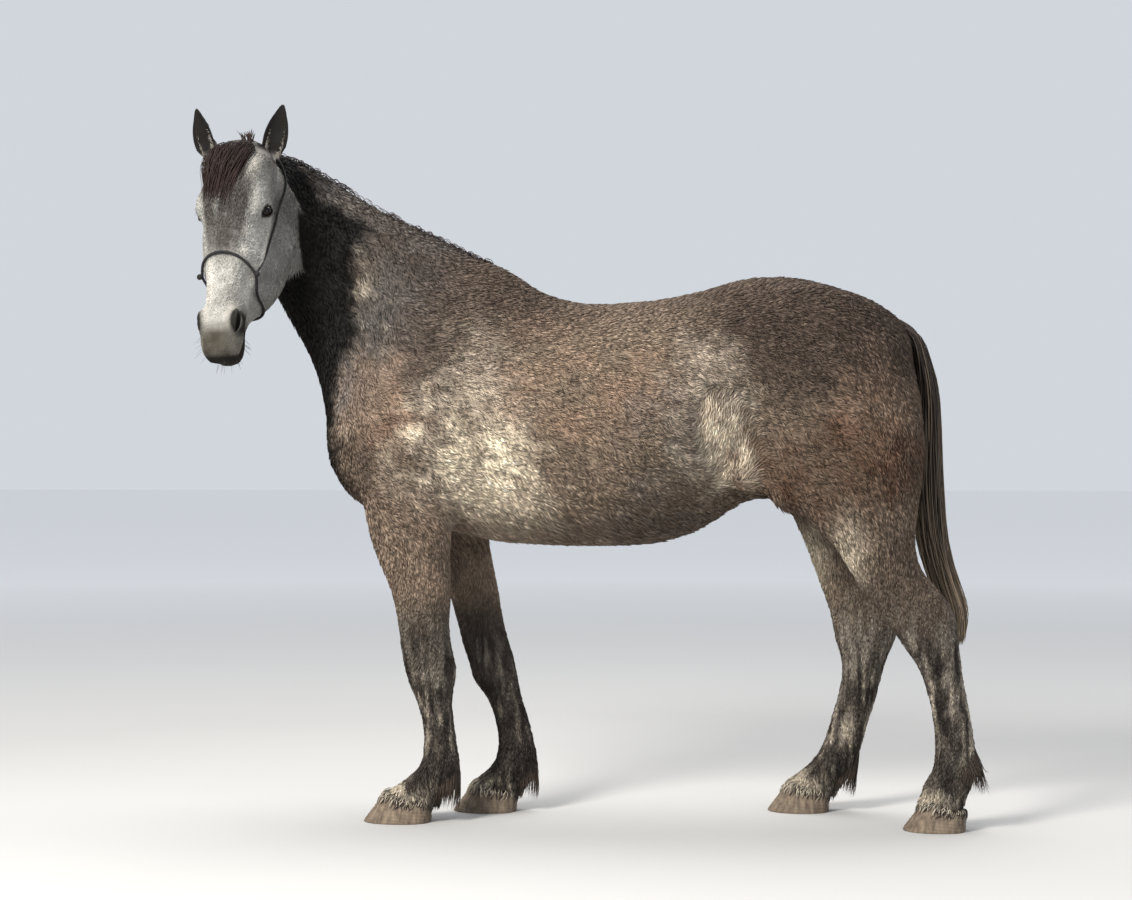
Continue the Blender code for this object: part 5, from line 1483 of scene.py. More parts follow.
def strand_faces(count, steps):
    """Triangles of closed three-sided strands that each end in a point."""
    pattern = [[0, 2, 1]]
    for step in range(steps - 2):
        for k in range(3):
            near, beside = step * 3 + k, step * 3 + (k + 1) % 3
            pattern += [[near, beside, beside + 3], [near, beside + 3, near + 3]]
    last = (steps - 2) * 3
    size = last + 4
    for k in range(3):
        pattern.append([last + k, last + (k + 1) % 3, size - 1])
    start = np.arange(count)[:, None, None] * size
    return (start + np.array(pattern)[None]).reshape(-1, 3)


def strand_colours(root_colour, tip_colour, share, count, chance):
    """Every strand has its own tone and goes from the root's colour to the tip's."""
    mix = np.concatenate([np.repeat(share[:-1], 3), [1.0]])[None, :, None]
    tone = chance.uniform(*STRAND_TONES, count)[:, None, None]
    roots, tips = (np.broadcast_to(np.asarray(colour), (count, 3))[:, None, :]
                   for colour in (root_colour, tip_colour))
    return (blended(roots, tips, mix) * tone).reshape(-1, 3)


def strands(name, locks, thickness, root_colour, tip_colour, kind, seed, paint, taper=0.7):
    """The locks as closed three-sided strands, each ending in a point."""
    paths, facings, widths = (np.array(part) for part in (locks.paths, locks.facings, locks.widths))
    count, steps, axes = paths.shape
    out, across = strand_axes(paths, facings)
    share = np.linspace(0, 1, steps)
    slim = (np.minimum(1, 0.45 + 2.2 * share) * (1 - share ** 3 * taper))[None, :, None]
    half = widths[:, None, None] / 2 * slim
    deep = thickness / 2 * slim
    under = paths - out * deep * 0.5
    rings = np.stack([under - across * half, under + across * half, paths + out * deep], axis=2)[:, :-1]
    points = np.concatenate([rings.reshape(count, -1, 3), paths[:, -1:]], axis=1)
    colours = strand_colours(root_colour, tip_colour, share, count, np.random.default_rng(seed))
    u, v = unwrapped(paths[:, 0], kind)
    place = np.stack([u, v], axis=1)[:, None, :] * UNWRAP_SHARE
    spot = np.stack([np.tile([0.0, 1.0, 0.5], steps - 1), np.repeat(share[:-1], 3)], axis=1)
    spot = np.concatenate([spot, [[0.5, 1.0]]])
    uv = (place + spot[None] * TUFT_UNWRAP).reshape(-1, 2)
    mesh = solid_from(name, points.reshape(-1, 3), strand_faces(count, steps), colours, uv)
    return placed(name, mesh, paint)


def draped(tree, start, flow, length, steps, rise, sink=0.010):
    """The path and facings of a lock that lies on the coat. flow gives its way at a share of its length."""
    near, normal, face, distance = tree.find_nearest(start)
    path, facing = [near - normal * sink], [normal]
    point = near
    for k in range(1, steps):
        share = k / (steps - 1)
        step = flow(share).normalized() * (length / (steps - 1))
        near, normal, face, distance = tree.find_nearest(point + step)
        point = near + normal * rise * (0.3 + 1.1 * math.sin(math.pi * min(share * 1.2, 1)) + 0.2)
        path.append(point)
        facing.append(normal)
    return path, facing


def along_rows(rows, share):
    """A row between the given ones, at a share of the way from the first to the last."""
    place = min(max(share, 0), 1) * (len(rows) - 1)
    low = min(int(place), len(rows) - 2)
    return rows[low] + (rows[low + 1] - rows[low]) * (place - low)


def curved(root, way, length, bend):
    """A fine hair of a few points that leaves its root one way and bends another."""
    shares = [k / (FINE_STEPS - 1) for k in range(FINE_STEPS)]
    return [root + way * length * share + bend * share * share for share in shares]


def mane(tree, paint):
    """Hair rooted along the crest. Most falls on the right of the neck, and short wisps stay on the left."""
    chance = random.Random(SEED + 1)
    rows = eased([(*first, wide) for first, second, wide, *rest in neck_rings()], 8)
    locks = Locks()
    for k in range(MANE_STRANDS):
        share = 0.05 + 0.93 * chance.random()
        row, ahead = along_rows(rows, share), along_rows(rows, share + 0.03)
        forward = Vector(ahead[0:3] - row[0:3]).normalized()
        side = forward.cross(Vector((0, 0, 1))).normalized()
        wisp = chance.random() < WISP_SHARE
        sway = chance.uniform(-0.35, 0.40)
        start = Vector(row[0:3]) - side * chance.uniform(-0.004, 0.026)
        reach = 0.60 + 0.40 * math.sin(math.pi * min(share * 1.1, 1))
        length = MANE_LENGTH * reach * chance.uniform(*MANE_LENGTHS)
        if wisp:
            start = Vector(row[0:3]) + side * chance.uniform(-0.030, 0.012)
            length = chance.uniform(*WISP_LENGTHS)
        flow = wisp_flow(forward, side, sway) if wisp else fall_flow(forward, side, sway)
        path, facing = draped(tree, start, flow, length, STRAND_STEPS, chance.uniform(0.001, 0.008))
        locks.add(path, facing, chance.uniform(*LOCK_WIDTHS))
    paler = np.array(MANE_DARK) * 1.6
    return strands("mane", locks, LOCK_THICKNESS, MANE_DARK, paler, "neck", SEED, paint)


def wisp_flow(forward, side, sway):
    """The way of a short wisp that lies back along the crest."""
    return lambda part: -forward * 0.9 - side * sway * 1.5 + Vector((0, 0, -0.3 * part))


def fall_flow(forward, side, sway):
    """The way of a long lock that goes over the crest and hangs down."""
    def flow(part):
        over = max(0.0, 1 - 2.6 * part)
        down = Vector((0, 0, 0.1 - 1.2 * min(1.0, 2 * part)))
        return side * (0.25 + over) + down - forward * sway * part
    return flow


def forelock(tree, paint):
    """Hair rooted between the ears that sweeps down to the right, with a small upright tuft."""
    chance = random.Random(SEED + 2)
    locks = Locks()
    for k in range(FORELOCK_STRANDS):
        place = chance.random()
        upright = chance.random() < UPRIGHT_SHARE
        start = on_head(chance.uniform(0.000, 0.055), -0.030, -0.105 + 0.205 * place)
        lean = 0.02 + 0.50 * place + chance.uniform(-0.25, 0.25)
        if upright:
            start = on_head(chance.uniform(-0.02, 0.02), -0.040, chance.uniform(0.01, 0.07))
            lean = chance.uniform(-0.4, 0.6)
        length = FORELOCK_LENGTH * (0.78 + 0.22 * place) * chance.uniform(*FORELOCK_LENGTHS)
        if upright:
            length = chance.uniform(*UPRIGHT_LENGTHS)
        rise = chance.uniform(0.002, 0.013)
        path, facing = draped(tree, start, forelock_flow(lean, upright), length, STRAND_STEPS, rise)
        if upright:
            path = upright_path(path[0], lean, length)
        locks.add(path, facing, chance.uniform(*FORELOCK_WIDTHS))
    colours = (FORELOCK_ROOT, FORELOCK_TIP)
    return strands("forelock", locks, FORELOCK_THICKNESS, *colours, "head", SEED + 2, paint)


def forelock_flow(lean, upright):
    """The way of a lock of the forelock at a share of its length."""
    if upright:
        return lambda part: OUT_OF_FACE * 0.6 - DOWN_FACE * 0.9 - HEAD_LEFT * lean
    return lambda part: DOWN_FACE - HEAD_LEFT * lean * (1.1 - 0.5 * part) + OUT_OF_FACE * 0.2


def upright_path(root, lean, length):
    """A short lock that stands up from the poll and leans more towards its tip."""
    shares = [k / (STRAND_STEPS - 1) for k in range(STRAND_STEPS)]
    return [root + (OUT_OF_FACE * 0.25 - DOWN_FACE * 0.9 - HEAD_LEFT * lean * share) * length * share
            for share in shares]


# The tail's front and back edge in side view from the dock down: (x, z, x, z, half width)
TAIL_ROWS = (
    (0.790, 1.490, 0.806, 1.530, 0.026),
    (0.822, 1.460, 0.858, 1.490, 0.034),
    (0.842, 1.395, 0.884, 1.405, 0.042),
    (0.850, 1.290, 0.908, 1.290, 0.052),
    (0.848, 1.130, 0.914, 1.130, 0.062),
    (0.850, 0.980, 0.918, 0.980, 0.070),
    (0.866, 0.850, 0.930, 0.856, 0.070),
    (0.895, 0.745, 0.958, 0.756, 0.060),
    (0.938, 0.640, 0.994, 0.645, 0.042),
    (0.964, 0.560, 0.992, 0.555, 0.020),
)


def tail_point(rows, share, turn, reach):
    """A point of the tail, at a share of its length, a turn round it and a reach from its middle."""
    front, z, back, back_z, wide = along_rows(rows, share)
    x = (front + back) / 2 - 0.006 + ((back - front) / 2 + 0.006) * math.cos(turn) * reach
    y = wide * math.sin(turn) * reach
    return Vector((x, y, (z + back_z) / 2 - max(0.0, share - 1) * 0.5))


def tail(paint):
    """Long hair that hangs round the dock, dark at the top and pale at the end."""
    chance = random.Random(SEED + 3)
    rows = eased(TAIL_ROWS, 6)
    locks = Locks()
    for k in range(TAIL_STRANDS):
        first = 0.70 * chance.random() ** 0.8
        last = min(first + chance.uniform(0.30, 0.60), 1.0 + 0.05 * chance.random())
        turn = chance.uniform(0, 2 * math.pi)
        twist = chance.uniform(-0.5, 0.5)
        depth = chance.uniform(0.55, 1.26)
        phase, sway = chance.uniform(0, 2 * math.pi), chance.uniform(0.001, 0.007)
        path = []
        for step in range(TAIL_STEPS):
            share = step / (TAIL_STEPS - 1)
            swell = depth * (0.62 + 0.42 * math.sin(math.pi * (0.15 + 0.75 * share)))
            place = tail_point(rows, first + (last - first) * share, turn + twist * share, swell)
            wave = sway * share * math.sin(phase + 7 * share)
            path.append(place + Vector((wave * math.cos(phase), wave, 0)))
        out = Vector((math.cos(turn), math.sin(turn), 0))
        locks.add(path, [out] * TAIL_STEPS, chance.uniform(*LOCK_WIDTHS))
        locks.roots.append(tail_colour(first, chance))
        locks.tips.append(tail_colour(last, chance))
    return strands("tail_hair", locks, LOCK_THICKNESS, locks.roots, locks.tips, "tail", SEED + 3, paint)


def tail_colour(share, chance):
    pale = min(max((share - 0.52 + chance.uniform(-0.26, 0.26)) / 0.45, 0), 1)
    return [dark + (light - dark) * pale for dark, light in zip(TAIL_DARK, TAIL_PALE)]


def tail_core(paint):
    """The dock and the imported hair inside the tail."""
    sections = [((front - 0.006, 0, z), (back - 0.012, 0, back_z), wide * 0.70, 0.5, 2, 2)
                for front, z, back, back_z, wide in TAIL_ROWS[:-1]]
    mesh = section_loft("tail_core", sections, 4, 24)
    mesh.shade_smooth()
    return placed("tail_core", mesh, paint)


# The hooves' feather: (back of the leg at its top x and z, at its widest x and z, tips' x and z, curl)
FEATHER = {
    "fore_left": ((-0.560, 0.300), (-0.527, 0.155), (-0.545, 0.040), 0.000),
    "fore_right": ((-0.358, 0.300), (-0.311, 0.140), (-0.322, 0.052), 0.000),
    "hind_left": ((0.998, 0.310), (1.036, 0.185), (1.022, 0.105), 0.026),
    "hind_right": ((0.707, 0.280), (0.682, 0.140), (0.664, 0.042), 0.004),
}
FEATHER_DEPTH, FEATHER_LOWEST = 0.062, 0.012


def feather(name, paint):
    """Hair that fans out behind one fetlock and hangs over the heels."""
    top, widest, tips, curl = FEATHER[name]
    chance = random.Random(SEED + len(name))
    y = HOOVES[name][2]
    over = 0.022 if name.startswith("fore") else 0.004
    locks = Locks()
    for k in range(FEATHER_STRANDS):
        turn = 1.75 * chance.uniform(-1, 1)
        sine = abs(math.sin(turn))
        low = 0.75 * chance.random()
        start_x = top[0] + (widest[0] - top[0]) * low - FEATHER_DEPTH
        start = Vector((start_x, y, top[1] + (widest[1] - top[1]) * low))
        middle = Vector((widest[0] - FEATHER_DEPTH, y, widest[1] - 0.02 * low))
        tip = tips[1] - over + 0.030 * sine ** 2 + 0.075 * chance.random() ** 1.7
        end = Vector((tips[0] - FEATHER_DEPTH, y, max(FEATHER_LOWEST, tip)))
        wide = 1.0 - 0.26 * min(sine, 1)
        swirl = chance.uniform(-0.3, 0.3)
        droop = chance.uniform(0.3, 1.0)
        path = []
        for step in range(STRAND_STEPS):
            share = step / (STRAND_STEPS - 1)
            base = start * (1 - share) ** 2 + middle * 2 * share * (1 - share) + end * share ** 2
            reach = FEATHER_DEPTH * wide * (0.80 + 0.22 * share) - 0.018 * (1 - min(1, 3 * share))
            reach += (curl * droop + chance.uniform(-0.003, 0.003) - 0.010 * (1 - droop)) * share ** 3
            bent = Vector((math.cos(turn + swirl * share), math.sin(turn + swirl * share), 0))
            path.append(base + bent * reach)
        out = Vector((math.cos(turn), math.sin(turn), 0))
        locks.add(path, [out] * STRAND_STEPS, chance.uniform(*FEATHER_WIDTHS))
    seed = SEED + len(name)
    return strands("feather_" + name, locks, FEATHER_THICKNESS, LEG_DARK, FEATHER_TIP, "legs", seed, paint)


def ear_hair(paint):
    """Pale hair along the inner edges of both ears."""
    chance = random.Random(SEED + 6)
    locks = Locks()
    for side in (-1, 1):
        base, up, across, face = ear_frame(side)
        for k in range(EAR_STRANDS):
            edge = chance.choice((-1, 1))
            height = 0.02 + 0.60 * chance.random() ** 1.6
            half = 0.033 * math.sin(math.pi * (0.22 + 0.70 * height)) ** 0.7
            root = base + up * (height * EAR_LENGTH) + across * edge * half * 0.90 + face * 0.001
            inwards = -across * edge * chance.uniform(0.2, 0.9) + up * chance.uniform(0.6, 1.2) + face * 0.20
            length = chance.uniform(*EAR_HAIR_LENGTHS) * (1 - 0.4 * height)
            shares = [i / (FINE_STEPS - 1) for i in range(FINE_STEPS)]
            path = [root + inwards.normalized() * length * share - face * 0.003 * (1 - share)
                    for share in shares]
            locks.add(path, [face] * FINE_STEPS, chance.uniform(*EAR_HAIR_WIDTHS))
    colours = (EAR_HAIR_ROOT, EAR_HAIR_TIP)
    return strands("ear_hair", locks, EAR_HAIR_THICKNESS, *colours, "head", SEED + 6, paint)


def whiskers(tree, paint):
    """Lashes over both eyes and fine whiskers on the lips and chin."""
    chance = random.Random(SEED + 7)
    locks = Locks()
    for side in (-1, 1):
        eye_axes, upper = eye_frame(side), upper_lid(side)
        for k in range(LASHES):
            x, y = almond(math.radians(chance.uniform(25, 155)), 0.0180, 0.0116)
            root = eye_axes @ Vector((x, y * upper, 0.0200))
            way = (eye_axes.to_3x3() @ Vector((x * 10, y * 22 * upper, 0.55))).normalized()
            path = curved(root, way, chance.uniform(*LASH_LENGTHS), DOWN_FACE * 0.004)
            locks.add(path, [OUT_OF_FACE] * FINE_STEPS, LASH_WIDTH)
    for k in range(WHISKERS):
        side = chance.uniform(-0.085, 0.085)
        down = chance.uniform(0.84, 0.99)
        out = chance.choice((-0.10, -0.20)) + chance.uniform(-0.03, 0.03)
        near, normal, face, distance = tree.find_nearest(on_head(down, out, side))
        way = (normal + DOWN_FACE * 0.5).normalized()
        path = curved(near, way, chance.uniform(*WHISKER_LENGTHS), DOWN_FACE * 0.006)
        locks.add(path, [DOWN_FACE] * FINE_STEPS, WHISKER_WIDTH)
    return strands("whiskers", locks, WHISKER_THICKNESS, WHISKER_ROOT, WHISKER_TIP, "head", SEED + 7, paint)


def upper_lid(side):
    """Which way across the eye the upper lid lies."""
    across = eye_frame(side).to_3x3() @ Vector((0, 1, 0))
    return 1 if across.dot(OUT_OF_FACE) > 0 else -1


# Eyes, hooves and halter


def eye(name, side, paint):
    """A ball with a clear bulge in front."""
    mesh = eyeball(name, side, 0, 5)
    placed_at = eye_frame(side)
    back = placed_at.inverted()
    for corner in mesh.vertices:
        local = back @ corner.co
        bulge = max(0.0, local.z / EYE_RADIUS - 0.70) / 0.30
        corner.co = placed_at @ (local * (1 + 0.045 * bulge ** 2))
    layer = mesh.attributes.new("eye_place", "FLOAT_VECTOR", "POINT")
    for k, corner in enumerate(mesh.vertices):
        layer.data[k].vector = (back @ corner.co) / EYE_RADIUS
    mesh.shade_smooth()
    made = placed(name + "_wet", mesh, paint)
    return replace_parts(made, name)


def coronet_block(name):
    toe, heel, y = HOOVES[name]
    start = Vector((toe + 0.060, y, CORONET_FRONT))
    end = Vector((heel, y, CORONET_BACK))
    along = (end - start).normalized()
    side = Vector((0, 1, 0))
    up = along.cross(side).normalized()
    if up.z < 0:
        up = -up
    return box("box", (-1, -0.5, 0), (1, 0.5, 1.4), axes_matrix(along, side, up, start))


def wall_place(name, turn, z, off):
    """A point at a turn round the hoof's wall, at a height and a distance off the horn."""
    toe, heel, y = HOOVES[name]
    heights = [row[0] for row in HOOF_WALL]
    front, back, wide = (np.interp(z, heights, [row[axis] for row in HOOF_WALL]) for axis in (1, 2, 3))
    cosine, sine = math.cos(turn), math.sin(turn)
    reach = (abs(cosine) ** HOOF_SQUARENESS + abs(sine) ** HOOF_SQUARENESS) ** (-1 / HOOF_SQUARENESS)
    half = (heel + back - toe - front) / 2
    x = (heel + back + toe + front) / 2 + (half + off) * reach * cosine
    return Vector((x, y + (wide + off) * reach * sine, z))


def fringe(name, paint):
    """Short hair that hangs from the coronet over the hoof, palest at the toe."""
    chance = random.Random(SEED + 40 + len(name))
    locks = Locks()
    for k in range(FRINGE_STRANDS):
        turn = chance.uniform(0, 2 * math.pi)
        forward = 0.5 - 0.5 * math.cos(turn)
        top = CORONET_BACK + (CORONET_FRONT - CORONET_BACK) * forward + chance.uniform(0.003, 0.014)
        length = chance.uniform(*FRINGE_LENGTHS)
        swirl = chance.uniform(-0.25, 0.25)
        path = []
        for step in range(FRINGE_STEPS):
            share = step / (FRINGE_STEPS - 1)
            lift = 0.0010 + 0.0040 * math.sin(math.pi * min(share + 0.1, 1))
            sunk = 0.0060 * (1 - min(1, 4 * share))
            z = max(top - length * share, 0.006)
            path.append(wall_place(name, turn + swirl * share, z, lift - sunk))
        facing = Vector((math.cos(turn), math.sin(turn), 0.3))
        locks.add(path, [facing] * FRINGE_STEPS, chance.uniform(*FRINGE_WIDTHS))
        locks.roots.append(FRINGE_PALE if chance.random() < 0.15 + 0.55 * forward else LEG_DARK)
    tips = np.array(locks.roots) * 1.1
    seed = SEED + 40 + len(name)
    return strands("fringe_" + name, locks, FRINGE_THICKNESS, locks.roots, tips, "legs", seed, paint, 0.6)


def hoof(name, paint):
    """A hoof with fine growth rings."""
    toe, heel, y = HOOVES[name]
    sections = [((toe + front, y, z), (heel + back, y, z), wide, 0.52, 2.1, 2.7)
                for z, front, back, wide in HOOF_WALL]
    item = object_of("horn_" + name, section_loft("hoof", sections, 16, 96), bpy.context.scene.collection)
    combine(item, [coronet_block(name)], "DIFFERENCE")
    points = corners_of(item.data)
    away = points - np.array([(toe + heel) / 2, y, 0.0])
    away[:, 2] = 0
    height = points[:, 2] + 0.10 * (points[:, 0] - toe)
    ripple = 0.0007 * np.sin(height * 620) + 0.0012 * (cloudy(points, 0.020, 61) - 0.5)
    ripple *= step_up(0.002, 0.012, points[:, 2])
    set_corners(item.data, points + unit(away) * ripple[:, None])
    item.data.shade_smooth()
    dressed(item, paint)
    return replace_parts(item, "hoof_" + name)


def laid_on(tree, centre, direction, radius):
    """A rope's middle where it lies on the surface, seen from outside along a direction from a centre."""
    start = centre + direction * 0.45
    hit, normal, face, distance = tree.ray_cast(start, -direction)
    return (hit or centre) + direction * (radius + ROPE_CLEARANCE)


def pushed_off(point, tree, distance):
    """The point moved out from every face that is nearer than the distance."""
    near, normal, face, away = tree.find_nearest(point)
    if (point - near).dot(normal) < 0:
        point = near + normal * distance
    for near, normal, face, away in tree.find_nearest_range(point, distance):
        short = distance - (point - near).dot(normal)
        if 0 < short < distance * 1.3:
            point = point + normal * short
    return point


def taut(path, tree, radius, closed):
    """The rope drawn smooth along its path and held off the surface."""
    for k in range(ROPE_ROUNDS):
        pulled = []
        for i, point in enumerate(path):
            if not closed and i in (0, len(path) - 1):
                pulled.append(point)
                continue
            middle = (path[i - 1] + path[(i + 1) % len(path)]) / 2
            pulled.append(point.lerp(middle, 0.5 if k < ROPE_ROUNDS - ROPE_SETTLING else 0))
        path = [pushed_off(point, tree, radius + ROPE_CLEARANCE) for point in pulled]
    return path


def noseband_path(tree):
    path = []
    for k in range(NOSEBAND_POINTS):
        turn = 2 * math.pi * k / NOSEBAND_POINTS
        back = (1 - math.cos(turn)) / 2
        centre = on_head(NOSEBAND_FRONT + (NOSEBAND_BACK - NOSEBAND_FRONT) * back, -0.125, 0)
        direction = OUT_OF_FACE * math.cos(turn) + HEAD_LEFT * math.sin(turn)
        path.append(laid_on(tree, centre, direction, NOSEBAND_RADIUS))
    return path


def headpiece_path(tree):
    """From the left of the noseband up the cheek, over the poll behind the ears and down the right."""
    left = [cheek_place(tree, k, 1) for k in range(CHEEK_POINTS)]
    crown = [crown_place(tree, k) for k in range(CROWN_POINTS + 1)]
    right = [cheek_place(tree, k, -1) for k in range(CHEEK_POINTS - 1, -1, -1)]
    return left + crown + right


def cheek_place(tree, k, side):
    share = k / CHEEK_POINTS
    centre = on_head(CHEEK_LOW + (CHEEK_HIGH - CHEEK_LOW) * share, -0.105 - 0.140 * share ** 0.8, 0)
    return laid_on(tree, centre, HEAD_LEFT * side, ROPE_RADIUS)


def crown_place(tree, k):
    turn = math.pi * (k / CROWN_POINTS - 0.5)
    direction = -HEAD_LEFT * math.sin(turn) - DOWN_FACE * math.cos(turn)
    return laid_on(tree, on_head(CHEEK_HIGH, -0.245 + 0.02 * math.cos(turn), 0), direction, ROPE_RADIUS)


def even_path(path, pitch, closed):
    """The path with points at even steps."""
    points = np.array([list(point) for point in path])
    if closed:
        points = np.concatenate([points, points[:1]])
    away = np.concatenate([[0], np.cumsum(np.linalg.norm(np.diff(points, axis=0), axis=1))])
    count = max(int(away[-1] / pitch), 4)
    marks = np.linspace(0, away[-1], count + 1)
    return np.stack([np.interp(marks, away, points[:, axis]) for axis in range(3)], axis=1), away[-1]


def twisted(path, radius, closed):
    """Three strands laid round each other along a path, as closed tubes."""
    points, total = even_path(path, ROPE_PITCH, closed)
    turns = round(total / ROPE_LAY)
    middles = [Vector(point) for point in points]
    axes = carried(middles)
    last = len(middles) - 1
    thin = radius / 2
    meshes = []
    for strand in range(3):
        centre = []
        for k, point in enumerate(middles):
            angle = 2 * math.pi * (turns * k / last + strand / 3)
            centre.append(point + (axes[k][0] * math.cos(angle) + axes[k][1] * math.sin(angle)) * thin)
        meshes.append(tube("strand", centre, [thin * 1.04] * len(centre), 8))
    return meshes


def halter(tree, nose, paint):
    noseband = taut(noseband_path(nose), nose, NOSEBAND_RADIUS, True)
    headpiece = headpiece_path(tree)
    for end in (0, -1):
        headpiece[end] = min(noseband, key=lambda point: (point - headpiece[end]).length)
    headpiece = taut(headpiece, tree, ROPE_RADIUS, False)
    meshes = twisted(noseband, NOSEBAND_RADIUS, True) + twisted(headpiece, ROPE_RADIUS, False)
    for end in (0, -1):
        meshes += knot(pushed_off(headpiece[end], tree, KNOT_RADIUS + ROPE_CLEARANCE))
    work = bmesh.new()
    for mesh in meshes:
        work.from_mesh(mesh)
        bpy.data.meshes.remove(mesh)
    mesh = bpy.data.meshes.new("rope_halter")
    work.to_mesh(mesh)
    work.free()
    mesh.shade_smooth()
    made = placed("rope_halter", mesh, paint)
    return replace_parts(made, "halter")


def knot(middle):
    """A small round knot of three turns of rope."""
    meshes = []
    for k, (tilt, size) in enumerate(((0.2, 0.0058), (1.2, 0.0055), (2.2, 0.0058))):
        way = Vector((math.cos(tilt), math.sin(tilt), 0.4 * (k - 1))).normalized()
        one = way.orthogonal().normalized()
        path = round_ring(middle, one, way.cross(one), size, TURN_POINTS)
        path.append(path[0])
        meshes.append(tube("turn", path, [TURN_RADIUS] * len(path), 8))
    return meshes


# Materials: how much each surface shines and how rough it is
HAIR_GLOSS, HORN_GLOSS, EYE_GLOSS, FLOOR_GLOSS = 0.12, 0.25, 0.18, 0.1
HAIR_ROUGHNESS, SKIN_ROUGHNESS, CORE_ROUGHNESS, HORN_ROUGHNESS = 0.62, 0.80, 0.85, 0.75
ROPE_ROUGHNESS, EYE_ROUGHNESS, FLOOR_ROUGHNESS = 0.80, 0.07, 0.90
# Scales of the patterns, in bumps to the metre
COAT_CLOUDS, CORE_CLOUDS, ROPE_CLOUDS, EYE_CLOUDS, FLOOR_CLOUDS = 60.0, 120.0, 900.0, 700.0, 3.0
SKIN_GRAIN, CORE_GRAIN, HORN_GRAIN, ROPE_GRAIN, HORN_FIBRES = 420.0, 400.0, 300.0, 2500.0, 95.0
# Height of the relief in metres
SKIN_RELIEF, CORE_RELIEF, HORN_RELIEF, ROPE_RELIEF = 0.0012, 0.003, 0.0006, 0.0002


def shader_of(name, roughness, gloss):
    made = bpy.data.materials.new(name)
    made.use_nodes = True
    tree = made.node_tree
    shader = tree.nodes["Principled BSDF"]
    shader.inputs["Roughness"].default_value = roughness
    shader.inputs["Metallic"].default_value = 0
    shader.inputs["Specular IOR Level"].default_value = gloss
    return made, tree, shader


def node(tree, kind, **settings):
    made = tree.nodes.new(kind)
    for key, value in settings.items():
        if key in made.inputs:
            made.inputs[key].default_value = value
        else:
            setattr(made, key, value)
    return made


def object_place(tree):
    """The place on the piece, which the procedural patterns follow."""
    return node(tree, "ShaderNodeTexCoord").outputs["Object"]


def flat_colour(tree, colour):
    base = node(tree, "ShaderNodeRGB")
    base.outputs["Color"].default_value = (*colour, 1)
    return base.outputs["Color"]


def squeezed(tree, place, scale):
    """The place with its axes scaled, which draws a pattern out."""
    squeeze = node(tree, "ShaderNodeMapping")
    squeeze.inputs["Scale"].default_value = scale
    tree.links.new(place, squeeze.inputs["Vector"])
    return squeeze.outputs["Vector"]


def ramp_of(tree, value, stops):
    """Colours at given values, blended between them."""
    ramp = node(tree, "ShaderNodeValToRGB")
    elements = ramp.color_ramp.elements
    for k, (position, colour) in enumerate(stops):
        stop = elements[k] if k < 2 else elements.new(position)
        stop.position = position
        stop.color = (*colour, 1)
    tree.links.new(value, ramp.inputs["Fac"])
    return ramp.outputs["Color"]


def length_of(tree, vector):
    length = node(tree, "ShaderNodeVectorMath", operation="LENGTH")
    tree.links.new(vector, length.inputs[0])
    return length.outputs["Value"]


def varied(tree, colour, place, scale, amount):
    """The colour made lighter and darker by noise."""
    clouds = node(tree, "ShaderNodeTexNoise", Scale=scale, Detail=4.0)
    spread = node(tree, "ShaderNodeMapRange")
    spread.inputs["To Min"].default_value = 1 - amount
    spread.inputs["To Max"].default_value = 1 + amount
    blend = node(tree, "ShaderNodeVectorMath", operation="SCALE")
    tree.links.new(place, clouds.inputs["Vector"])
    tree.links.new(clouds.outputs["Fac"], spread.inputs["Value"])
    tree.links.new(colour, blend.inputs[0])
    tree.links.new(spread.outputs["Result"], blend.inputs["Scale"])
    return blend.outputs["Vector"]


def bumped(tree, shader, place, scale, height):
    """Fine relief from noise."""
    grain = node(tree, "ShaderNodeTexNoise", Scale=scale, Detail=6.0)
    relief = node(tree, "ShaderNodeBump", Distance=height, Strength=0.8)
    tree.links.new(place, grain.inputs["Vector"])
    tree.links.new(grain.outputs["Fac"], relief.inputs["Height"])
    tree.links.new(relief.outputs["Normal"], shader.inputs["Normal"])


def coat_paint(name, roughness, amount, relief):
    """Hair or skin that takes its colour from the markings."""
    made, tree, shader = shader_of(name, roughness, HAIR_GLOSS)
    own = node(tree, "ShaderNodeAttribute", attribute_name="coat_colour")
    place = object_place(tree)
    colour = varied(tree, own.outputs["Color"], place, COAT_CLOUDS, amount)
    tree.links.new(colour, shader.inputs["Base Color"])
    if relief:
        bumped(tree, shader, squeezed(tree, place, (1.0, 1.0, 0.22)), SKIN_GRAIN, relief)
    return made


def core_paint():
    """Packed dark hair."""
    made, tree, shader = shader_of("tail_core", CORE_ROUGHNESS, HAIR_GLOSS)
    place = object_place(tree)
    colour = varied(tree, flat_colour(tree, TAIL_DARK), place, CORE_CLOUDS, 0.5)
    tree.links.new(colour, shader.inputs["Base Color"])
    bumped(tree, shader, squeezed(tree, place, (1.0, 1.0, 0.12)), CORE_GRAIN, CORE_RELIEF)
    return made


def horn_paint():
    """Grey-brown horn with fibres that run down the wall."""
    made, tree, shader = shader_of("hoof_horn", HORN_ROUGHNESS, HORN_GLOSS)
    place = object_place(tree)
    fibres = node(tree, "ShaderNodeTexNoise", Scale=HORN_FIBRES, Detail=6.0)
    tree.links.new(squeezed(tree, place, (1.0, 1.0, 0.25)), fibres.inputs["Vector"])
    colour = ramp_of(tree, fibres.outputs["Fac"], ((0.30, HORN_DARK), (0.72, HORN_PALE)))
    tree.links.new(colour, shader.inputs["Base Color"])
    bumped(tree, shader, squeezed(tree, place, (1.0, 1.0, 0.15)), HORN_GRAIN, HORN_RELIEF)
    return made


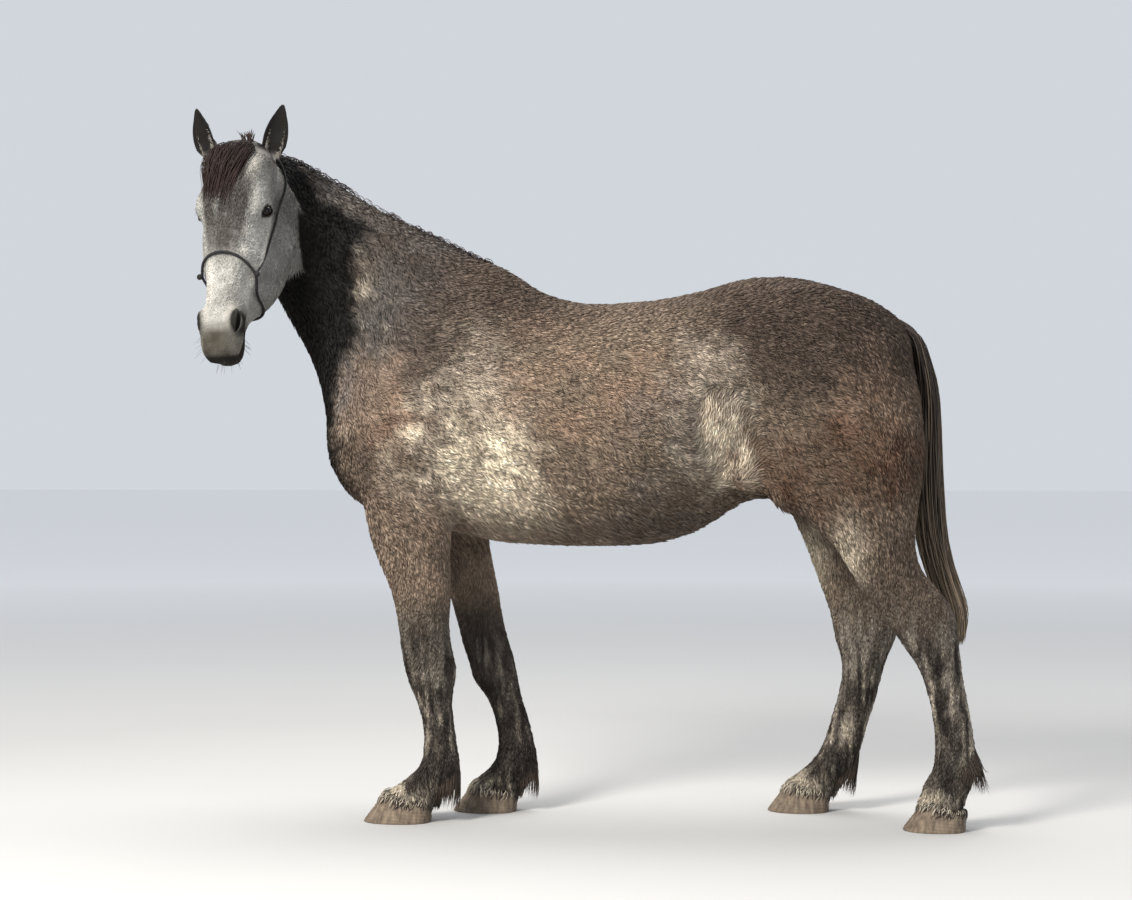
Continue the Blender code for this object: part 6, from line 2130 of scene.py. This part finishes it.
def rope_paint():
    made, tree, shader = shader_of("black_rope", ROPE_ROUGHNESS, HORN_GLOSS)
    place = object_place(tree)
    colour = varied(tree, flat_colour(tree, ROPE_BLACK), place, ROPE_CLOUDS, 0.6)
    tree.links.new(colour, shader.inputs["Base Color"])
    bumped(tree, shader, place, ROPE_GRAIN, ROPE_RELIEF)
    return made


def eye_paint():
    """A brown iris with a dark, level pupil, under a wet clear surface."""
    made, tree, shader = shader_of("eye", EYE_ROUGHNESS, EYE_GLOSS)
    own = node(tree, "ShaderNodeAttribute", attribute_name="eye_place")
    away = length_of(tree, squeezed(tree, own.outputs["Vector"], (1.0, 1.7, 0.0)))
    colour = ramp_of(tree, away, ((0.42, PUPIL), (0.52, IRIS), (0.85, EYE_RIM)))
    tree.links.new(varied(tree, colour, object_place(tree), EYE_CLOUDS, 0.35), shader.inputs["Base Color"])
    return made


def floor_paint():
    """A pale floor that grows lighter with the distance from the model."""
    made, tree, shader = shader_of("studio_floor", FLOOR_ROUGHNESS, FLOOR_GLOSS)
    place = object_place(tree)
    share = node(tree, "ShaderNodeMath", operation="MULTIPLY")
    share.inputs[1].default_value = 0.04
    tree.links.new(length_of(tree, place), share.inputs[0])
    colour = ramp_of(tree, share.outputs["Value"], ((0.12, FLOOR_NEAR), (0.55, FLOOR_FAR)))
    tree.links.new(varied(tree, colour, place, FLOOR_CLOUDS, 0.010), shader.inputs["Base Color"])
    return made


# The studio: half the floor's width, the sky's colour and strength, and the lamps
FLOOR_HALF, FLOOR_LOW, FLOOR_TOP = 60, -0.02, -0.0005
SKY_COLOUR, SKY_STRENGTH = (0.80, 0.84, 0.90, 1), 0.80
# Each lamp: (name, place, where it aims, size, power, colour)
LAMPS = (
    ("key", (-3.6, -5.6, 4.8), (0, 0, 1.1), 2.4, 1000, (1.0, 0.96, 0.90)),
    ("fill", (5.0, -5.0, 2.4), (0, 0, 1.0), 3.5, 110, (0.92, 0.95, 1.0)),
    ("top", (0.5, 1.5, 5.5), (0, 0, 1.2), 4.0, 260, (1.0, 0.98, 0.95)),
)
# The camera: its focal length and the picture's width in pixels, the film's width, and its place and turn
FOCAL_PIXELS, PICTURE_PIXELS, FILM_WIDTH = 2421, 1132, 36
CAMERA_PLACE, CAMERA_TURN = (0.4426, -7.3677, 1.13), (90, 0, 4)


def studio():
    """A wide pale floor, an even sky and three soft lamps."""
    bpy.context.scene.view_settings.view_transform = "Standard"
    slab = box("floor", (-FLOOR_HALF, -FLOOR_HALF, FLOOR_LOW), (FLOOR_HALF, FLOOR_HALF, FLOOR_TOP))
    floor = object_of("studio_floor_piece", slab, bpy.context.scene.collection)
    floor.data.materials.append(floor_paint())
    world = bpy.data.worlds.new("studio")
    bpy.context.scene.world = world
    world.use_nodes = True
    sky = world.node_tree.nodes["Background"]
    sky.inputs["Color"].default_value = SKY_COLOUR
    sky.inputs["Strength"].default_value = SKY_STRENGTH
    for row in LAMPS:
        lamp(*row)


def lamp(name, place, aim, size, power, colour):
    light = bpy.data.lights.new(name, "AREA")
    light.shape = "DISK"
    light.size = size
    light.energy = power
    light.color = colour
    item = bpy.data.objects.new(name, light)
    item.location = place
    item.rotation_euler = (Vector(aim) - Vector(place)).to_track_quat("-Z", "Y").to_euler()
    bpy.context.scene.collection.objects.link(item)


def camera():
    lens = bpy.data.cameras.new("camera")
    lens.sensor_width = FILM_WIDTH
    lens.lens = FOCAL_PIXELS / PICTURE_PIXELS * FILM_WIDTH
    item = bpy.data.objects.new("camera", lens)
    item.location = CAMERA_PLACE
    item.rotation_euler = [math.radians(angle) for angle in CAMERA_TURN]
    bpy.context.scene.collection.objects.link(item)
    bpy.context.scene.camera = item


# Building


def bare_share(points):
    """How light the skin is beside the hair at each point: darkest in the ears and round the mouth."""
    ears, ways = ear_share(points)
    down, out, side = head_place(points).T
    muzzle = step_up(0.76, 0.90, down) * head_share(points)
    return 0.75 - 0.60 * ears - 0.28 * muzzle


def dress_skin(skin, paint):
    """The skin with the coat's markings, darker where it is bare, in place of the flesh."""
    points = corners_of(skin.data)
    set_colours(skin.data, markings(points) * bare_share(points)[:, None])
    dressed(skin, paint)
    legs = ["leg_" + name for name in LEG_ROWS]
    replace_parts(skin, "trunk", "neck", "head", *legs)


def long_hair(tree, hair):
    """Mane, forelock, tail, the hair in the ears, lashes and whiskers, and the tail's core."""
    for made in (mane(tree, hair), forelock(tree, hair), tail(hair), ear_hair(hair), whiskers(tree, hair)):
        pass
    dock = tail_core(core_paint())
    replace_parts(dock, "tail")


def feet(hair):
    """Feather, fringe and horn of the four hooves."""
    horn = horn_paint()
    for name in HOOVES:
        feather(name, hair)
        fringe(name, hair)
        hoof(name, horn)


def build():
    hair = coat_paint("coat_hair", HAIR_ROUGHNESS, 0.14, 0)
    flesh = coat_paint("coat_under", SKIN_ROUGHNESS, 0.30, SKIN_RELIEF)
    skin, tree, nose = made_skin()
    dress_skin(skin, flesh)
    made_coat(skin, hair)
    long_hair(tree, hair)
    feet(hair)
    wet = eye_paint()
    eye("eye_left", 1, wet)
    eye("eye_right", -1, wet)
    halter(tree, nose, rope_paint())
    studio()
    camera()


build()
